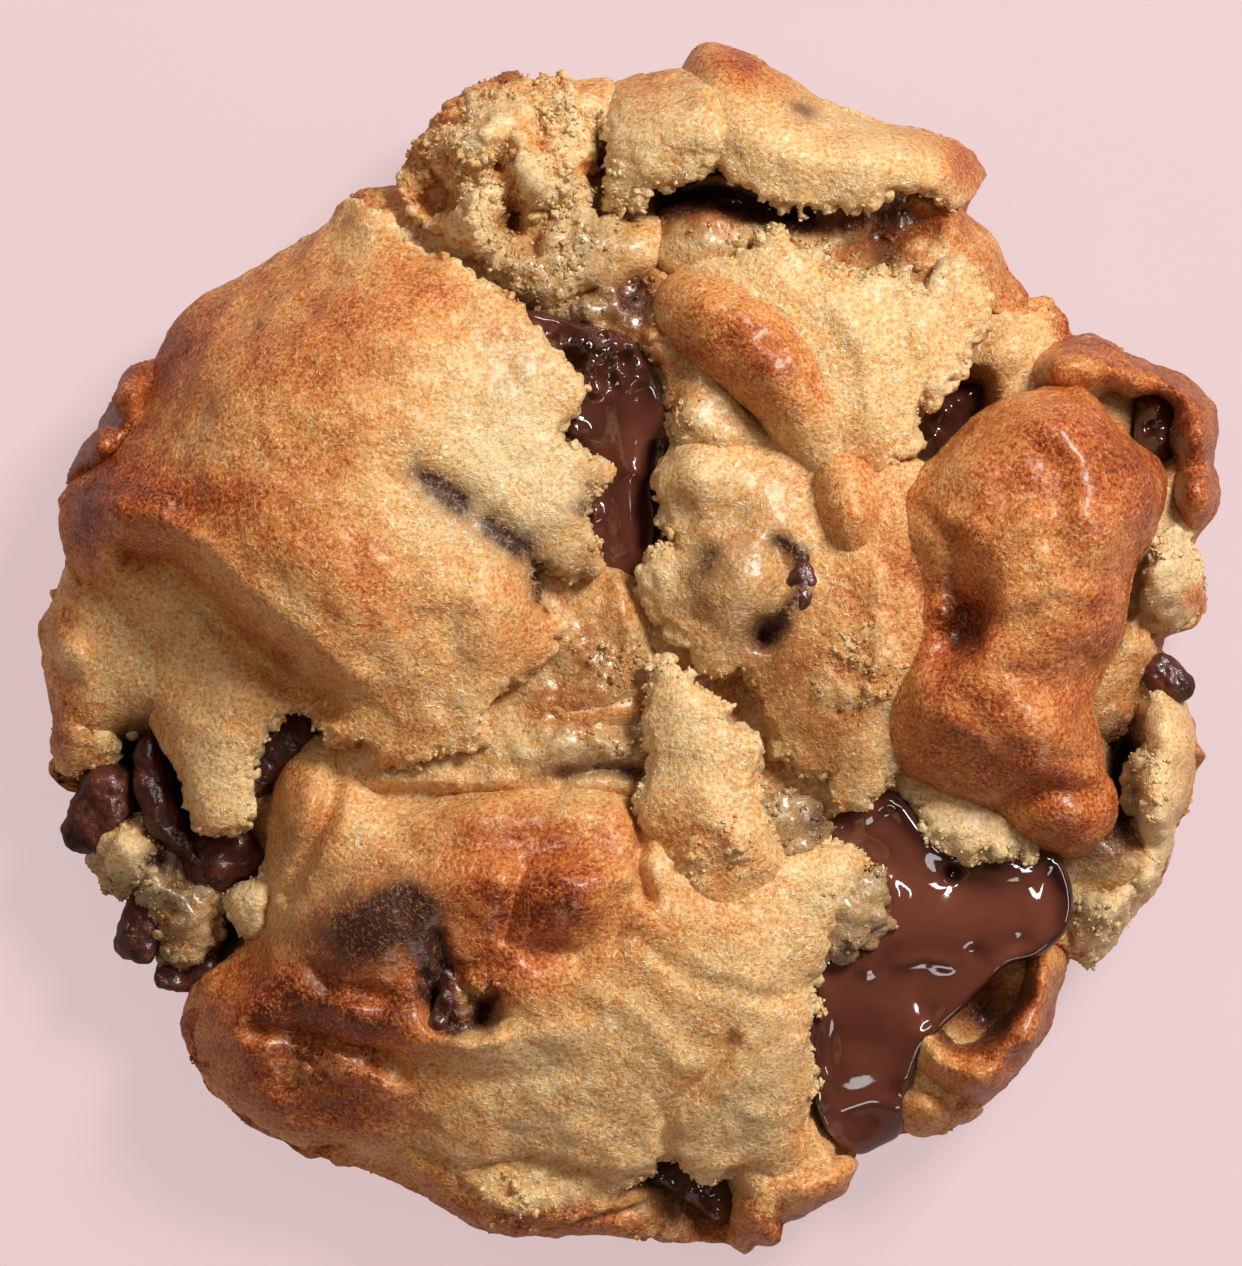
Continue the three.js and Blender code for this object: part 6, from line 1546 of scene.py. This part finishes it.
studio = {
    "floor": (233, 207, 208),
    "floorGlow": 0.78,                # part of the floor's brightness that no shadow takes away
    "glowInGloss": 0.18,              # and as shiny places show it
    "floorSize": 4.0,
    "fill": 0.21,                     # strength of the even light from all round
    "fillInGloss": 0.06,              # and as shiny places show it
    "fillColour": (255, 238, 218),
    "lamps": [                        # bearing from +X and height in degrees, distance, width, depth, power, use
        (46, 46, 0.85, 0.24, 0.24, 8.2, "all"),
        (150, 64, 0.95, 0.50, 0.50, 1.0, "matt"),
        (4, 44, 0.85, 0.56, 0.08, 2.6, "gloss"),
        (88, 44, 0.85, 0.56, 0.08, 2.6, "gloss"),
        (-76, 27, 0.85, 0.40, 0.16, 1.0, "gloss"),
    ],
    "lensDistance": 1.0,              # camera to the middle of the cookie, in metres
    "frameWidth": 0.1242,             # width that the picture shows there
    "centre": (-0.0008, 0.0017, 0.018),
}


def studioFloor(look):
    # a square whose colour is partly glow and partly lit, with less glow in what shiny places show of it
    half = look["floorSize"] / 2
    mesh = bpy.data.meshes.new("studioFloor")
    corners = [(-half, -half, 0), (half, -half, 0), (half, half, 0), (-half, half, 0)]
    mesh.from_pydata(corners, [], [(0, 1, 2, 3)])
    floor = bpy.data.objects.new("studioFloor", mesh)
    bpy.context.scene.collection.objects.link(floor)
    material = bpy.data.materials.new("studioFloor")
    material.use_nodes = True
    shader = material.node_tree.nodes["Principled BSDF"]
    colour = srgb(*look["floor"])
    shader.inputs["Base Color"].default_value = [c * (1 - look["floorGlow"]) for c in colour[:3]] + [1]
    shader.inputs["Emission Color"].default_value = colour
    n = Nodes(material.node_tree)
    mirrored = n.add("ShaderNodeLightPath").outputs["Is Glossy Ray"]
    glow = n.spread(mirrored, 0, 1, look["floorGlow"], look["glowInGloss"])
    n.put(shader.inputs["Emission Strength"], glow)
    shader.inputs["Roughness"].default_value = 0.9
    shader.inputs["Specular IOR Level"].default_value = 0.0
    mesh.materials.append(material)


def aimed(made, place, target):
    # put at a place, with its -Z axis towards the target
    made.location = place
    made.rotation_euler = (Vector(target) - Vector(place)).to_track_quat("-Z", "Y").to_euler()
    bpy.context.scene.collection.objects.link(made)
    return made


studioFloor(studio)
world = bpy.data.worlds.new("studio")
bpy.context.scene.world = world
world.use_nodes = True
sky = Nodes(world.node_tree)
background = world.node_tree.nodes["Background"]
background.inputs["Color"].default_value = srgb(*studio["fillColour"])
mirrored = sky.add("ShaderNodeLightPath").outputs["Is Glossy Ray"]
sky.put(background.inputs["Strength"], sky.spread(mirrored, 0, 1, studio["fill"], studio["fillInGloss"]))
for index, (bearing, height, distance, width, depth, power, use) in enumerate(studio["lamps"]):
    lamp = bpy.data.lights.new("lamp%d" % index, "AREA")
    lamp.shape = "RECTANGLE"
    lamp.size = width
    lamp.size_y = depth
    lamp.energy = power
    level = distance * math.cos(math.radians(height))
    place = (level * math.cos(math.radians(bearing)), level * math.sin(math.radians(bearing)),
             distance * math.sin(math.radians(height)))
    placedLamp = aimed(bpy.data.objects.new("lamp%d" % index, lamp), place, (0, 0, 0.02))
    placedLamp.visible_glossy = use != "matt"
    placedLamp.visible_diffuse = use != "gloss"     # such a lamp only gives shiny places a wide glint

lens = bpy.data.cameras.new("camera")
lens.sensor_width = 36
lens.lens = 36 * studio["lensDistance"] / studio["frameWidth"]
centre = studio["centre"]
camera = bpy.data.objects.new("camera", lens)
camera.location = (centre[0], centre[1], centre[2] + studio["lensDistance"])
bpy.context.scene.collection.objects.link(camera)
bpy.context.scene.camera = camera
bpy.context.scene.view_settings.view_transform = "Standard"
